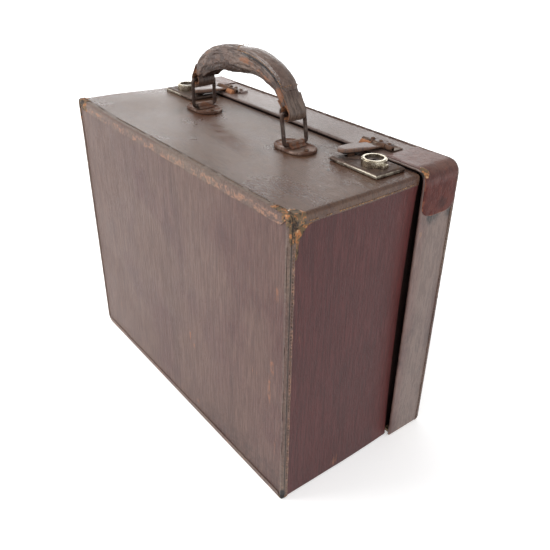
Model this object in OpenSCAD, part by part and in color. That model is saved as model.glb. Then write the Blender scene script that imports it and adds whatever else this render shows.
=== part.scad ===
// A rigid leather carrying case that stands on its hinge side: a board-built
// body covered in leather, a shallow slip-over lid at the back, a looped
// handle on two dee rings, and two sliding locks with leather-covered hasps.
// Frame: X across the case, -Y is the big front panel, +Y the lid, +Z up.
// The origin is the centre of the base on the surface that the case stands on.

/* [Case body] */
// Width of the body over its leather
body_w = 406; // [380:1:430]
// Height of the body over its leather
body_h = 316.5; // [300:0.5:330]
// Depth of the whole case, front edge to lid back
case_d = 204; // [198:1:220]
// Leather thickness on the body
leather_t = 1.5; // [1.2:0.1:1.8]
// Board thickness of the body walls
board_t = 3; // [2.5:0.1:3.5]
// How far each side wall leans in at the mouth
mouth_inset = 8; // [4:0.5:10]
// Leather binding thickness on edges
binding_t = 0.8; // [0.6:0.1:1]
// Binding width on the front panel
binding_w = 11; // [8:0.5:14]

/* [Lid] */
// Lid depth, from the front edge of its band to its back
lid_d = 50; // [44:1:56]
// Width of the lid over its leather
lid_w = 412; // [411:1:416]
// Height of the lid over its leather
lid_h = 320; // [319.5:0.5:334]
// Radius of the lid's two top corners
lid_corner_r = 12; // [8:1:16]
// Length of the body rim hidden inside the lid
rim_len = 20; // [12:1:22]

/* [Handle] */
// Left ring pin position
ring_left_x = -88; // [-96:1:-80]
// Right ring pin position
ring_right_x = 80; // [76:1:90]
// Front to back position of the handle
handle_y = 4; // [0:1:8]
// Ring height between its bar centres
ring_rise = 30; // [28:1:32]
// Ring width between its leg centres
ring_span = 28; // [26:1:30]
// Ring wire diameter
wire_d = 4; // [3.5:0.1:4]
// Lean of the right ring towards the middle
ring_right_lean = 10; // [0:1:12]
// Rise of the grip's centre line above the ring tops
grip_rise = 38; // [32:1:44]

/* [Locks] */
// Lock plate centre, out from the middle
lock_x = 156; // [150:1:165]
// Lock plate centre, front to back
lock_y = 27; // [20:1:28]
// Lock plate length along X
plate_w = 62; // [56:1:64]
// Lock plate length along Y
plate_d = 37; // [34:1:46]
// Travel of the lock slide
slide_travel = 6; // [4:0.5:7]
// Hasp pin, front to back position
hasp_pin_y = 65.5; // [64:0.5:75]

/* [Hidden] */
eps = 0.01;
$fn = 48;

// Depth stations, front to back
front_y = -case_d / 2;
back_y = case_d / 2;
skin_y = front_y + binding_t;
board_y = skin_y + leather_t;
lid_y = back_y - lid_d;
skin_end_y = lid_y - 2;
rim_y = lid_y + rim_len - 2;
taper_y = -10;

// Body wall layers, out from the middle
lining_t = 0.8;
skin_x = body_w / 2;
board_x = skin_x - leather_t;
lining_x = board_x - board_t;
skin_z = body_h;
top_board_z = skin_z - leather_t - board_t;
floor_z = leather_t + board_t;
board_edge = 2.5;

// Hinge line at the foot of the mouth
hinge_r = 2.5;
hinge_y = lid_y + 0.5;
hinge_z = hinge_r;
hinge_gap = 3.5;
hinge_pin_r = 1.25;
hinge_bore_r = 1.3;
hinge_x = 120;
hinge_len = 50;
knuckle_len = hinge_len / 5;
leaf_t = 1;
leaf_d = 20;
hinge_rivet_r = 1.6;
hinge_rivet_dx = 18;
hinge_rivet_dy = 13;
bottom_end_y = hinge_y - hinge_gap;

// Lid layers
lid_skin_t = 1.3;
lid_side_t = 2;
lid_top_t = 1.3;
lid_base_t = 1.8;
lid_panel_t = 3;
lid_lining_t = 0.6;
lid_skin_x = lid_w / 2;
lid_board_x = lid_skin_x - lid_skin_t;
lid_in_x = lid_board_x - lid_side_t;
lid_board_z = lid_h - lid_skin_t;
lid_in_z = lid_board_z - lid_top_t;
lid_floor_z = lid_skin_t + lid_base_t;
lid_panel_y = back_y - lid_skin_t - lid_panel_t;
lid_band_end_y = back_y - lid_skin_t;
lid_in_r = lid_corner_r - lid_skin_t - lid_top_t;
lid_split_z = lid_h - lid_corner_r - 2;
patch_t = 1;
patch_top_w = 50;
patch_drop = 46;
edge_w = 3;

// Lock details, measured from the plate's underside
plate_t = 4;
plate_bevel = 2.2;
boss_dx = 9;
boss_r = 12;
boss_top = 10.6;
boss_base = plate_t + 0.2;
plug_r = 8.8;
plug_clear = 0.05;
plug_base = 6;
plug_top = 8.4;
neck = 8;
neck_clear = 0.15;
tray_w = 54;
tray_d = 30;
tray_drop = 12;
tray_wall = 1.2;
bolt_top = -2.5;
bolt_t = 2;
staple_dx = -21;
staple_w = 3;
staple_dy = 7;
bolt_end_dx = 5.5;

// Hasp details
hasp_leaf_t = 1.2;
hasp_pin_r = 1.25;
hasp_bore_r = 1.3;
hasp_barrel_r = 2.6;
hasp_pin_z = lid_h + hasp_barrel_r + 0.1;
hasp_x = 134;
hasp_w = 16;
hasp_tilt = -2.5;
hasp_slant = 4;
hasp_len = 50.5;
hasp_t = 1.2;
hasp_skin_t = 1.8;
leaf_x0 = 111;
leaf_x1 = 152;
hasp_leaf_d = 14;
patch_d = 15;
patch_z = lid_h + hasp_leaf_t + 1.4;
hasp_rivet_r = 1.2;
hasp_rivet_xs = [116, 127, 138];
hasp_rivet_y = hasp_pin_y + 9.5;

// Handle plates, rings and grip
oval_w = 50;
oval_d = 32;
oval_t = 2.5;
wire_r = wire_d / 2;
pin_clear = 0.06;
pin_z = skin_z + oval_t + wire_r + 0.2;
bridge_w = 20;
bridge_r = wire_r + 1.5;
ring_bend = 3;
rivet_r = 1.6;
rivet_dx = 17;
left_top = [ring_left_x, pin_z + ring_rise];
right_top = [
  ring_right_x - ring_rise * sin(ring_right_lean),
  pin_z + ring_rise * cos(ring_right_lean)
];
grip_x = (left_top[0] + right_top[0]) / 2;
grip_z = (left_top[1] + right_top[1]) / 2;
grip_half = (right_top[0] - left_top[0]) / 2;
loop_w = 22;
loop_r = 8.5;
loop_left_bore = wire_r + pin_clear;
loop_right_bore = wire_r + 3;
grip_steps = 13;
grip_start = 0.17;
strap_start = 0.06;
strap_a = 1.5;
strap_b = 8.5;
cover_t = 1.8;
fit_gap = 0.08;
section_n = 24;

leather_front = "#7d6763";
leather_top = "#857a74";
leather_side = "#5d4244";
leather_lid = "#776a66";
leather_patch = "#7b5350";
leather_dark = "#4a3733";
leather_tan = "#a3673c";
board_col = "#9a8262";
lining_col = "#7a6450";
rust_col = "#6e5345";
steel_col = "#7c736c";
nickel_col = "#b3ab97";

// ---------- shared shapes ----------

// How far a side wall has leaned in at depth y
function inset(y) =
  y <= taper_y ? 0 : y >= skin_end_y ? mouth_inset : mouth_inset * (y - taper_y) / (skin_end_y - taper_y);

// Depth stations of a wall from y0 to y1, with its two bends
function bends(y0, y1) = [y0, for (y = [taper_y, skin_end_y]) if (y > y0 && y < y1) y, y1];

function reversed(list) = [for (i = [len(list) - 1:-1:0]) list[i]];

// Points of an arc about (cx, cz)
function arc(cx, cz, r, a0, a1, n = 8) =
  [for (i = [0:n]) let (a = a0 + (a1 - a0) * i / n) [cx + r * cos(a), cz + r * sin(a)]];

// A full-width sheet that follows the lean of both side walls
module plan_sheet(x, y0, y1, z0, t) {
  ys = bends(y0, y1);
  right = [for (y = ys) [x - inset(y), y]];
  left = [for (y = reversed(ys)) [-x + inset(y), y]];
  translate([0, 0, z0])
    linear_extrude(t)
      polygon(concat(right, left));
}

// A side wall layer between x_in and x_out, on the right of the case
module side_sheet(x_in, x_out, y0, y1, z0, z1) {
  ys = bends(y0, y1);
  outer = [for (y = ys) [x_out - inset(y), y]];
  inner = [for (y = reversed(ys)) [x_in - inset(y), y]];
  translate([0, 0, z0])
    linear_extrude(z1 - z0)
      polygon(concat(outer, inner));
}

module box(x0, x1, y0, y1, z0, z1) {
  translate([x0, y0, z0])
    cube([x1 - x0, y1 - y0, z1 - z0]);
}

// Puts a right-hand part on the left too
module on_side(side) {
  if (side > 0) children();
  else mirror([1, 0, 0]) children();
}

module along_x(x0, x1, y, z, r) {
  translate([x0, y, z])
    rotate([0, 90, 0])
      cylinder(r = r, h = x1 - x0);
}

module along_y(x, y0, y1, z, r) {
  translate([x, y1, z])
    rotate([90, 0, 0])
      cylinder(r = r, h = y1 - y0);
}

module post(x, y, z0, z1, r) {
  translate([x, y, z0])
    cylinder(r = r, h = z1 - z0);
}

// ---------- body boards and leather ----------

module lock_cutouts(z0, z1) {
  gap = 0.2;
  for (side = [-1, 1])
    on_side(side)
      box(lock_x - tray_w / 2 - gap, lock_x + tray_w / 2 + gap,
          lock_y - tray_d / 2 - gap, lock_y + tray_d / 2 + gap, z0, z1);
}

module handle_rivet_shanks(z0, z1) {
  for (x = [ring_left_x, ring_right_x])
    for (dx = [-rivet_dx, rivet_dx])
      post(x + dx, handle_y, z0, z1, rivet_r);
}

module hinge_rivet_shanks(y, z0, z1) {
  for (x = [-hinge_x, hinge_x])
    for (dx = [-hinge_rivet_dx, 0, hinge_rivet_dx])
      post(x + dx, y, z0, z1, hinge_rivet_r);
}

module front_board() {
  color(board_col)
    box(-lining_x, lining_x, board_y, board_y + board_t, floor_z, top_board_z);
}

module top_board() {
  color(board_col)
    difference() {
      plan_sheet(board_x - board_edge, board_y, rim_y, top_board_z, board_t);
      lock_cutouts(top_board_z - 1, skin_z);
      handle_rivet_shanks(top_board_z - 1, skin_z);
    }
}

module bottom_board() {
  color(board_col)
    difference() {
      plan_sheet(board_x - board_edge, board_y, bottom_end_y, leather_t, board_t);
      hinge_rivet_shanks(hinge_y - hinge_rivet_dy, 0, floor_z + 1);
    }
}

module side_board(side) {
  color(board_col)
    on_side(side)
      side_sheet(lining_x, board_x, board_y, rim_y, floor_z, top_board_z);
}

module front_leather() {
  color(leather_front)
    box(-skin_x, skin_x, skin_y, board_y, 0, skin_z);
}

module top_leather() {
  color(leather_top)
    difference() {
      plan_sheet(skin_x, board_y, skin_end_y, skin_z - leather_t, leather_t);
      lock_cutouts(top_board_z, skin_z + 1);
      handle_rivet_shanks(top_board_z, skin_z + 1);
    }
}

module bottom_leather() {
  color(leather_dark)
    plan_sheet(skin_x, board_y, bottom_end_y, 0, leather_t);
}

module side_leather(side) {
  color(leather_side)
    on_side(side)
      difference() {
        side_sheet(board_x, skin_x, board_y, skin_end_y, leather_t, skin_z - leather_t);
        box(0, skin_x, bottom_end_y, rim_y, 0, floor_z);
      }
}

// Leather strip folded over the front edges: an angle on the top and sides, flat at the base
module front_edge_binding() {
  fold = 9;
  out_x = skin_x + binding_t;
  out_z = skin_z + binding_t;
  color(leather_tan)
    difference() {
      box(-out_x, out_x, front_y, skin_y + fold, 0, out_z);
      box(-skin_x, skin_x, skin_y, skin_y + fold + 1, -1, skin_z);
      box(-skin_x + binding_w, skin_x - binding_w, front_y - 1, skin_y + 1, binding_w, skin_z - binding_w);
    }
}

// Thin leather turned over the edge of the mouth on three sides
module rim_binding() {
  turn = 12;
  out_x = board_x + binding_t;
  out_h = top_board_z + board_t + binding_t - floor_z;
  in_x = lining_x - lining_t;
  in_h = top_board_z - lining_t;
  color(leather_dark) {
    difference() {
      plan_sheet(out_x, skin_end_y, rim_y + binding_t, floor_z, out_h);
      plan_sheet(board_x, skin_end_y - 1, rim_y, 0, top_board_z);
      plan_sheet(board_x - board_edge, skin_end_y - 1, rim_y, top_board_z - 1, board_t + 1);
      plan_sheet(in_x, skin_end_y - 1, rim_y + 5, 0, in_h);
    }
    difference() {
      plan_sheet(lining_x, rim_y - turn, rim_y, floor_z, top_board_z - floor_z);
      plan_sheet(in_x, rim_y - turn - 1, rim_y + 1, 0, in_h);
    }
  }
}

// Thin cloth-backed paper glued to the inside of the body
module body_lining() {
  lining_end = rim_y - 12 - eps;
  y0 = board_y + board_t;
  z1 = top_board_z;
  t = lining_t;
  leaf_clear = 0.3;
  color(lining_col)
    difference() {
      plan_sheet(lining_x, y0, lining_end, floor_z, z1 - floor_z);
      plan_sheet(lining_x - t, y0 + t, lining_end + 1, floor_z + t, z1 - floor_z - 2 * t);
      lock_cutouts(top_board_z - 2, skin_z);
      handle_rivet_shanks(z1 - 2, skin_z);
      box(-skin_x, skin_x, bottom_end_y, rim_y, 0, floor_z + lining_t + eps);
      for (x = [-hinge_x, hinge_x])
        box(x - hinge_len / 2 - leaf_clear, x + hinge_len / 2 + leaf_clear,
            hinge_y - leaf_d - leaf_clear, rim_y, 0, floor_z + 2);
    }
}

// ---------- handle hardware ----------

// Oval steel plate with a bridge over the ring's lower bar
module handle_plate(x) {
  end_r = oval_d / 2;
  core = oval_w / 2 - end_r;
  rim = 1;
  color(rust_col)
    translate([x, handle_y, 0])
      difference() {
        union() {
          for (s = [-1, 1])
            post(s * core, 0, skin_z, skin_z + oval_t - rim, end_r);
          box(-core, core, -end_r, end_r, skin_z, skin_z + oval_t - rim);
          for (s = [-1, 1])
            post(s * core, 0, skin_z, skin_z + oval_t, end_r - rim);
          box(-core, core, -end_r + rim, end_r - rim, skin_z, skin_z + oval_t);
          along_y(0, -bridge_w / 2, bridge_w / 2, pin_z, bridge_r);
          box(-bridge_r, bridge_r, -bridge_w / 2, bridge_w / 2, skin_z, pin_z);
        }
        along_y(0, -end_r, end_r, pin_z, wire_r + pin_clear);
        for (s = [-1, 1])
          post(s * rivet_dx, 0, skin_z - 1, pin_z, rivet_r);
      }
}

// Two rivets a plate, domed outside and clenched on a washer inside
module handle_rivets() {
  head_r = 3;
  washer_r = 4.5;
  washer_t = 1;
  under = top_board_z - lining_t;
  color(rust_col) {
    handle_rivet_shanks(under - washer_t, skin_z + oval_t);
    for (x = [ring_left_x, ring_right_x])
      for (dx = [-rivet_dx, rivet_dx])
        translate([x + dx, handle_y, 0]) {
          intersection() {
            translate([0, 0, skin_z + oval_t - 3])
              sphere(r = 4.2);
            post(0, 0, skin_z + oval_t, skin_z + oval_t + 2, head_r);
          }
          post(0, 0, top_board_z - washer_t - lining_t, top_board_z - lining_t, washer_r);
        }
  }
}

// Rectangular dee ring of round wire, standing on its lower bar at the origin
module ring(x, lean) {
  half = ring_span / 2;
  straight = half - ring_bend;
  color(rust_col)
    translate([x, handle_y, pin_z])
      rotate([0, -lean, 0])
        union() {
          for (z = [0, ring_rise])
            along_y(0, -straight, straight, z, wire_r);
          for (y = [-half, half])
            post(0, y, ring_bend, ring_rise - ring_bend, wire_r);
          for (sy = [-1, 1])
            for (top = [0, 1])
              translate([0, sy * straight, top == 1 ? ring_rise - ring_bend : ring_bend])
                rotate([sy > 0 ? (top == 1 ? 0 : -90) : (top == 1 ? 90 : 180), 0, 0])
                  rotate([0, 90, 0])
                    rotate([0, 0, 90])
                      rotate_extrude(angle = 90)
                        translate([ring_bend, 0])
                          circle(r = wire_r, $fn = 24);
        }
}

// ---------- handle ----------

// Quarter of the grip's centre line as a cubic curve, from a ring top (u = 0) to the crown (u = 1)
function grip_quarter(u) =
  let (
    v = 1 - u,
    c0 = [-grip_half, 0],
    c1 = [-0.93 * grip_half, 0.66 * grip_rise],
    c2 = [-0.53 * grip_half, grip_rise],
    c3 = [0, grip_rise]
  )
  v * v * v * c0 + 3 * v * v * u * c1 + 3 * v * u * u * c2 + u * u * u * c3;

// The whole centre line, s from 0 (left) to 2 (right)
function grip_point(s) =
  let (p = grip_quarter(s <= 1 ? s : 2 - s))
  [grip_x + (s <= 1 ? p[0] : -p[0]), grip_z + p[1]];

function grip_normal(s) =
  let (
    a = grip_point(max(0, s - 0.01)),
    b = grip_point(min(2, s + 0.01)),
    d = b - a,
    l = norm(d)
  )
  [-d[1] / l, d[0] / l];

// Half thickness and half width of the leather-covered grip along s
function grip_a(s) = let (m = 1 - abs(s - 1)) 6.8 + 2.9 * sin(90 * min(1, m * 1.25));
function grip_b(s) = let (m = 1 - abs(s - 1)) 11.6 - 0.5 * m;

// A point of a rounded section, at angle w, power e
function section_point(s, a, b, w, e) =
  let (
    p = grip_point(s),
    n = grip_normal(s),
    c = cos(w),
    k = sin(w),
    u = b * sign(c) * pow(abs(c), 2 / e),
    v = a * sign(k) * pow(abs(k), 2 / e)
  )
  [p[0] + n[0] * v, handle_y + u, p[1] + n[1] * v];

function section_ring(s, a, b, e) =
  [for (i = [0:section_n - 1]) section_point(s, a, b, 360 * i / section_n, e)];

function stations(s0, n) = [for (i = [0:n]) s0 + (2 - 2 * s0) * i / n];

// Closed tube between an outer and an inner stack of rings with equal counts
module tube(outer, inner) {
  rows = len(outer);
  n = len(outer[0]);
  base = rows * n;
  points = [for (r = outer) each r, for (r = inner) each r];
  walls = [
    for (i = [0:rows - 2]) for (j = [0:n - 1]) let (k = (j + 1) % n)
      each [
        [i * n + k, i * n + j, (i + 1) * n + j, (i + 1) * n + k],
        [base + i * n + j, base + i * n + k, base + (i + 1) * n + k, base + (i + 1) * n + j]
      ]
  ];
  ends = [
    for (j = [0:n - 1]) let (k = (j + 1) % n, last = (rows - 1) * n)
      each [
        [k, base + k, base + j, j],
        [last + j, base + last + j, base + last + k, last + k]
      ]
  ];
  polyhedron(points, concat(walls, ends), convexity = 8);
}

// Solid bar through a stack of rings
module bar(rings) {
  rows = len(rings);
  n = len(rings[0]);
  points = [for (r = rings) each r];
  walls = [
    for (i = [0:rows - 2]) for (j = [0:n - 1]) let (k = (j + 1) % n)
      [i * n + k, i * n + j, (i + 1) * n + j, (i + 1) * n + k]
  ];
  polyhedron(
    points,
    concat(walls, [[for (j = [0:n - 1]) j], [for (j = [n - 1:-1:0]) (rows - 1) * n + j]]),
    convexity = 6
  );
}

// Leather strap through the grip, with a loop at each end for its ring
module handle_strap() {
  color(leather_tan)
    difference() {
      union() {
        bar([for (s = stations(strap_start, grip_steps)) section_ring(s, strap_a, strap_b, 6)]);
        along_y(left_top[0], handle_y - loop_w / 2, handle_y + loop_w / 2, left_top[1], loop_r);
        along_y(right_top[0], handle_y - loop_w / 2, handle_y + loop_w / 2, right_top[1], loop_r);
      }
      along_y(left_top[0], handle_y - oval_d, handle_y + oval_d, left_top[1], loop_left_bore);
      along_y(right_top[0], handle_y - oval_d, handle_y + oval_d, right_top[1], loop_right_bore);
    }
}

// Packed filler between the strap and the cover
module handle_filler() {
  rows = stations(grip_start, grip_steps);
  skin = cover_t + fit_gap;
  color(board_col)
    tube(
      [for (s = rows) section_ring(s, grip_a(s) - skin, grip_b(s) - skin, 2.4)],
      [for (s = rows) section_ring(s, strap_a + 0.5, strap_b + 0.3, 6)]
    );
}

// Stitched leather cover of the grip
module handle_cover() {
  rows = stations(grip_start, grip_steps);
  color(leather_dark)
    tube(
      [for (s = rows) section_ring(s, grip_a(s), grip_b(s), 2.4)],
      [for (s = rows) section_ring(s, grip_a(s) - cover_t, grip_b(s) - cover_t, 2.4)]
    );
}

// Raised leather saddle sewn over the right-hand part of the grip
module handle_grip_wrap() {
  s0 = 0.86;
  s1 = 1.62;
  n = 10;
  half = 12;
  rise = 2;
  function wrap_row(s, grow) =
    [for (i = [0:half]) section_point(s, grip_a(s) + grow, grip_b(s) + grow, 15 + 150 * i / half, 2.4)];
  rows = [
    for (i = [0:n]) let (s = s0 + (s1 - s0) * i / n)
      concat(wrap_row(s, rise), reversed(wrap_row(s, 0.4)))
  ];
  color(leather_dark)
    bar(rows);
}

// ---------- locks ----------

module at_lock(side) {
  on_side(side)
    translate([lock_x, lock_y, skin_z])
      children();
}

// Box-edged plate with a slot for the slide's neck and one for the staple
module lock_plate(side) {
  w = plate_w / 2;
  d = plate_d / 2;
  n = neck / 2 + neck_clear;
  color(steel_col)
    at_lock(side)
      difference() {
        hull() {
          box(-w, w, -d, d, 0, plate_t - 1.6);
          box(-w + plate_bevel, w - plate_bevel, -d + plate_bevel, d - plate_bevel, 0, plate_t);
        }
        box(boss_dx - n, boss_dx + n + slide_travel, -n, n, -1, plate_t + 1);
        box(staple_dx - 2.6, staple_dx + 2.6, -7, 6, -1, plate_t + 1);
      }
}

// Pressed tray under the plate that holds the works
module lock_case(side) {
  w = tray_w / 2;
  d = tray_d / 2;
  color(rust_col)
    at_lock(side)
      difference() {
        box(-w, w, -d, d, -tray_drop, 0);
        box(-w + tray_wall, w - tray_wall, -d + tray_wall, d - tray_wall, -tray_drop + tray_wall, 1);
      }
}

// Sliding knob: a ring with a notch and tail outside, a neck, and a bolt inside
module lock_slide(side) {
  n = neck / 2;
  bolt_end = boss_dx + bolt_end_dx;
  color(nickel_col)
    at_lock(side)
      difference() {
        union() {
          post(boss_dx, 0, boss_base, boss_top - 1, boss_r);
          post(boss_dx, 0, boss_base, boss_top, boss_r - 1);
          box(boss_dx + boss_r - 3, boss_dx + boss_r + 3, -3.5, 3.5, boss_base, boss_base + 3);
          box(boss_dx - n, boss_dx + n, -n, n, bolt_top - eps, boss_base + eps);
          box(staple_dx + 5, bolt_end, -5, 5, bolt_top - bolt_t, bolt_top);
          box(staple_dx - 2, staple_dx + 6, -1.5, 1.5, bolt_top - bolt_t, bolt_top);
        }
        post(boss_dx, 0, plug_base, boss_top + 1, plug_r + plug_clear);
        post(boss_dx, 0, -tray_drop, plug_base + 1, 3 + plug_clear);
        translate([boss_dx, 0, 0])
          rotate(side > 0 ? 225 : 315)
            box(boss_r - 2, boss_r + 1, -1.2, 1.2, boss_base - 1, boss_top + 1);
      }
}

// Turning disc with the keyhole
module key_plug(side) {
  color(steel_col)
    at_lock(side)
      translate([boss_dx, 0, 0])
        difference() {
          union() {
            post(0, 0, plug_base + 0.1, plug_top, plug_r);
            post(0, 0, bolt_top - bolt_t + 0.2, plug_base + 0.2, 3);
          }
          post(0, 0, 1, plug_top + 1, 1.5);
          box(-0.8, 0.8, -6, 0, plug_base + 1.1, plug_top + 1);
        }
}

// Bent leaf that pushes the slide home
module lock_spring(side) {
  x0 = boss_dx + bolt_end_dx;
  x1 = tray_w / 2 - tray_wall;
  t = 0.6;
  mid = (x0 + x1) / 2;
  color(steel_col)
    at_lock(side)
      translate([0, 0, bolt_top - bolt_t])
        linear_extrude(bolt_t)
          polygon([
            [x0, -5], [x0 + t, -5], [mid, 4], [x1 - t, -5], [x1, -5],
            [x1, -4], [mid + t, 6], [mid - t, 6], [x0, -4]
          ]);
}

// ---------- hasps ----------

// Outline of the hasp arm from its root at the pin to its rounded tip
function hasp_outline(inward, root) =
  let (
    w = hasp_w / 2 - inward,
    tip_r = 4 - inward / 2,
    len = hasp_len - inward
  )
  concat(
    [[w - 1.5, -root], [w, -22], [w, -hasp_len + 20]],
    arc(0, -len + tip_r, tip_r, -20, -160, 8),
    [[-w, -hasp_len + 20], [-w, -22], [-w + 1.5, -root]]
  );

// Puts flat hasp outlines at the pin, tilted and slanted as the arm lies
module at_hasp(side) {
  on_side(side)
    translate([hasp_x, hasp_pin_y, hasp_pin_z])
      rotate([hasp_tilt, 0, 0])
        rotate([0, 0, -hasp_slant])
          children();
}

// Steel arm with its knuckle and the staple that drops through the lock plate
module hasp(side) {
  arm_z = -0.6;
  knuckle = hasp_w / 2;
  staple_x = lock_x + staple_dx;
  staple_top = lid_h + 5;
  eye_z = skin_z + bolt_top - bolt_t / 2;
  color(rust_col)
    difference() {
      union() {
        at_hasp(side)
          translate([0, 0, arm_z])
            linear_extrude(hasp_t)
              polygon(hasp_outline(0, 0));
        on_side(side) {
          along_x(hasp_x - knuckle, hasp_x + knuckle, hasp_pin_y, hasp_pin_z, hasp_barrel_r);
          box(staple_x - staple_w / 2, staple_x + staple_w / 2,
              lock_y - staple_dy / 2 - 0.5, lock_y + staple_dy / 2 - 0.5, eye_z - 4, staple_top - 0.2);
        }
      }
      on_side(side) {
        along_x(hasp_x - hasp_w, hasp_x + hasp_w, hasp_pin_y, hasp_pin_z, hasp_bore_r);
        box(staple_x - staple_w, staple_x + staple_w, lock_y - 2.2, lock_y + 2, eye_z - 1.7, eye_z + 1.7);
      }
    }
}

module hasp_leather(side) {
  color(leather_lid)
    at_hasp(side)
      translate([0, 0, -0.6 + hasp_t])
        linear_extrude(hasp_skin_t)
          polygon(hasp_outline(0.7, 6));
}

module hasp_rivet_shanks(z0, z1) {
  for (x = hasp_rivet_xs)
    post(x, hasp_rivet_y, z0, z1, hasp_rivet_r);
}

// Fixed hinge leaf on the lid, with a knuckle either side of the hasp
module hasp_leaf(side) {
  gap = 0.3;
  inner_end = hasp_x - hasp_w / 2 - gap;
  outer_start = hasp_x + hasp_w / 2 + gap;
  color(rust_col)
    on_side(side)
      difference() {
        union() {
          box(leaf_x0, leaf_x1, hasp_pin_y + 3.2, hasp_pin_y + hasp_leaf_d, lid_h, lid_h + hasp_leaf_t);
          for (span = [[leaf_x0, inner_end], [outer_start, leaf_x1]]) {
            along_x(span[0], span[1], hasp_pin_y, hasp_pin_z, hasp_barrel_r);
            box(span[0], span[1], hasp_pin_y, hasp_pin_y + 4, lid_h, lid_h + hasp_leaf_t);
          }
        }
        along_x(leaf_x0 - 1, leaf_x1 + 1, hasp_pin_y, hasp_pin_z, hasp_pin_r);
        hasp_rivet_shanks(lid_h - 1, lid_h + 5);
      }
}

module hasp_pin(side) {
  color(steel_col)
    on_side(side)
      along_x(leaf_x0, leaf_x1, hasp_pin_y, hasp_pin_z, hasp_pin_r);
}

// Leather patch sewn over the leaf, with a rounded back
module hasp_patch(side) {
  x0 = leaf_x0 - 5;
  x1 = leaf_x1 - 9;
  y0 = hasp_pin_y + 4;
  corner = 8;
  y1 = y0 + patch_d;
  color(leather_lid)
    on_side(side)
      difference() {
        translate([0, 0, lid_h])
          linear_extrude(patch_z - lid_h)
            polygon(concat(
              [[x0, y0], [x1, y0]],
              arc(x1 - corner, y1 - corner, corner, 0, 90),
              arc(x0 + corner, y1 - corner, corner, 90, 180)
            ));
        box(leaf_x0, leaf_x1, hasp_pin_y, hasp_pin_y + hasp_leaf_d, lid_h - 1, lid_h + hasp_leaf_t);
        hasp_rivet_shanks(lid_h - 1, patch_z + 1);
      }
}

module hasp_rivets() {
  color(rust_col)
    for (side = [-1, 1])
      on_side(side) {
        hasp_rivet_shanks(lid_in_z, patch_z);
        for (x = hasp_rivet_xs)
          translate([x, hasp_rivet_y, patch_z])
            intersection() {
              translate([0, 0, -2])
                sphere(r = 3.2);
              post(0, 0, 0, 2, 2.4);
            }
      }
}

// ---------- lid ----------

// Outline of the lid in X and Z, with round top corners of radius r
function lid_outline(x, z0, z1, r) =
  concat(
    [[-x, z0], [x, z0]],
    arc(x - r, z1 - r, r, 0, 90),
    arc(-x + r, z1 - r, r, 90, 180)
  );

module lid_block(x, z0, z1, r, y0, y1) {
  translate([0, y1, 0])
    rotate([90, 0, 0])
      linear_extrude(y1 - y0)
        polygon(lid_outline(x, z0, z1, r));
}

module lid_panel_board() {
  color(board_col)
    lid_block(lid_board_x, lid_skin_t, lid_board_z, lid_corner_r - lid_skin_t, lid_panel_y, lid_band_end_y);
}

// Strip over the top of the lid, bent down at both corners
module lid_top_board() {
  r = lid_corner_r - lid_skin_t;
  color(board_col)
    difference() {
      lid_block(lid_board_x, lid_split_z, lid_board_z, r, lid_y + lid_skin_t, lid_panel_y);
      lid_block(lid_in_x, lid_split_z - 1, lid_in_z, lid_in_r, lid_y, lid_panel_y + 1);
      for (side = [-1, 1])
        on_side(side)
          hasp_rivet_shanks(lid_in_z - 1, lid_h);
    }
}

module lid_bottom_board() {
  color(board_col)
    difference() {
      box(-lid_in_x, lid_in_x, hinge_y + hinge_gap, lid_panel_y, lid_skin_t, lid_floor_z);
      hinge_rivet_shanks(hinge_y + hinge_rivet_dy, 0, lid_floor_z + 1);
    }
}

module lid_side_board(side) {
  color(board_col)
    on_side(side)
      box(lid_in_x, lid_board_x, lid_y + lid_skin_t, lid_panel_y, lid_skin_t, lid_split_z);
}

module lid_panel_leather() {
  color(leather_lid)
    lid_block(lid_skin_x - edge_w, edge_w, lid_h - edge_w, lid_corner_r - edge_w, lid_band_end_y, back_y);
}

// Leather band round the four sides of the lid, turned in at its front edge
module lid_band_leather() {
  r = lid_corner_r;
  color(leather_lid)
    difference() {
      lid_block(lid_skin_x, 0, lid_h, r, lid_y, lid_band_end_y);
      lid_block(lid_board_x, lid_skin_t, lid_board_z, r - lid_skin_t, lid_y + lid_skin_t, lid_band_end_y + 1);
      lid_block(lid_in_x, lid_floor_z, lid_in_z, lid_in_r, lid_y - 1, lid_y + lid_skin_t + 1);
      box(-lid_in_x, lid_in_x, lid_y - 1, hinge_y + hinge_gap, -1, lid_floor_z + eps);
      for (side = [-1, 1])
        on_side(side)
          hasp_rivet_shanks(lid_in_z - 1, lid_h + 1);
    }
}

// Sewn edge strip round the back panel
module lid_edge_binding() {
  w = edge_w;
  color(leather_dark)
    difference() {
      lid_block(lid_skin_x, 0, lid_h, lid_corner_r, lid_band_end_y, back_y);
      lid_block(lid_skin_x - w, w, lid_h - w, lid_corner_r - w, lid_band_end_y - 1, back_y + 1);
    }
}

// Reinforcing leather over a top corner of the lid
module lid_corner_patch(side) {
  r = lid_corner_r;
  fold_y0 = lid_y + 0.5;
  fold_y1 = lid_band_end_y - 0.5;
  mid_y = (fold_y0 + fold_y1) / 2;
  tongue_r = (fold_y1 - fold_y0) / 2;
  tongue_z = lid_h - patch_drop + tongue_r;
  color(leather_patch)
    on_side(side)
      intersection() {
        difference() {
          lid_block(lid_skin_x + patch_t, 1, lid_h + patch_t, r + patch_t, fold_y0, fold_y1);
          lid_block(lid_skin_x, 0, lid_h, r, lid_y - 1, back_y);
        }
        union() {
          box(lid_skin_x - patch_top_w, lid_skin_x + 5, lid_y, back_y, tongue_z, lid_h + 5);
          along_x(lid_skin_x - 5, lid_skin_x + 5, mid_y, tongue_z, tongue_r);
        }
      }
}

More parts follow.
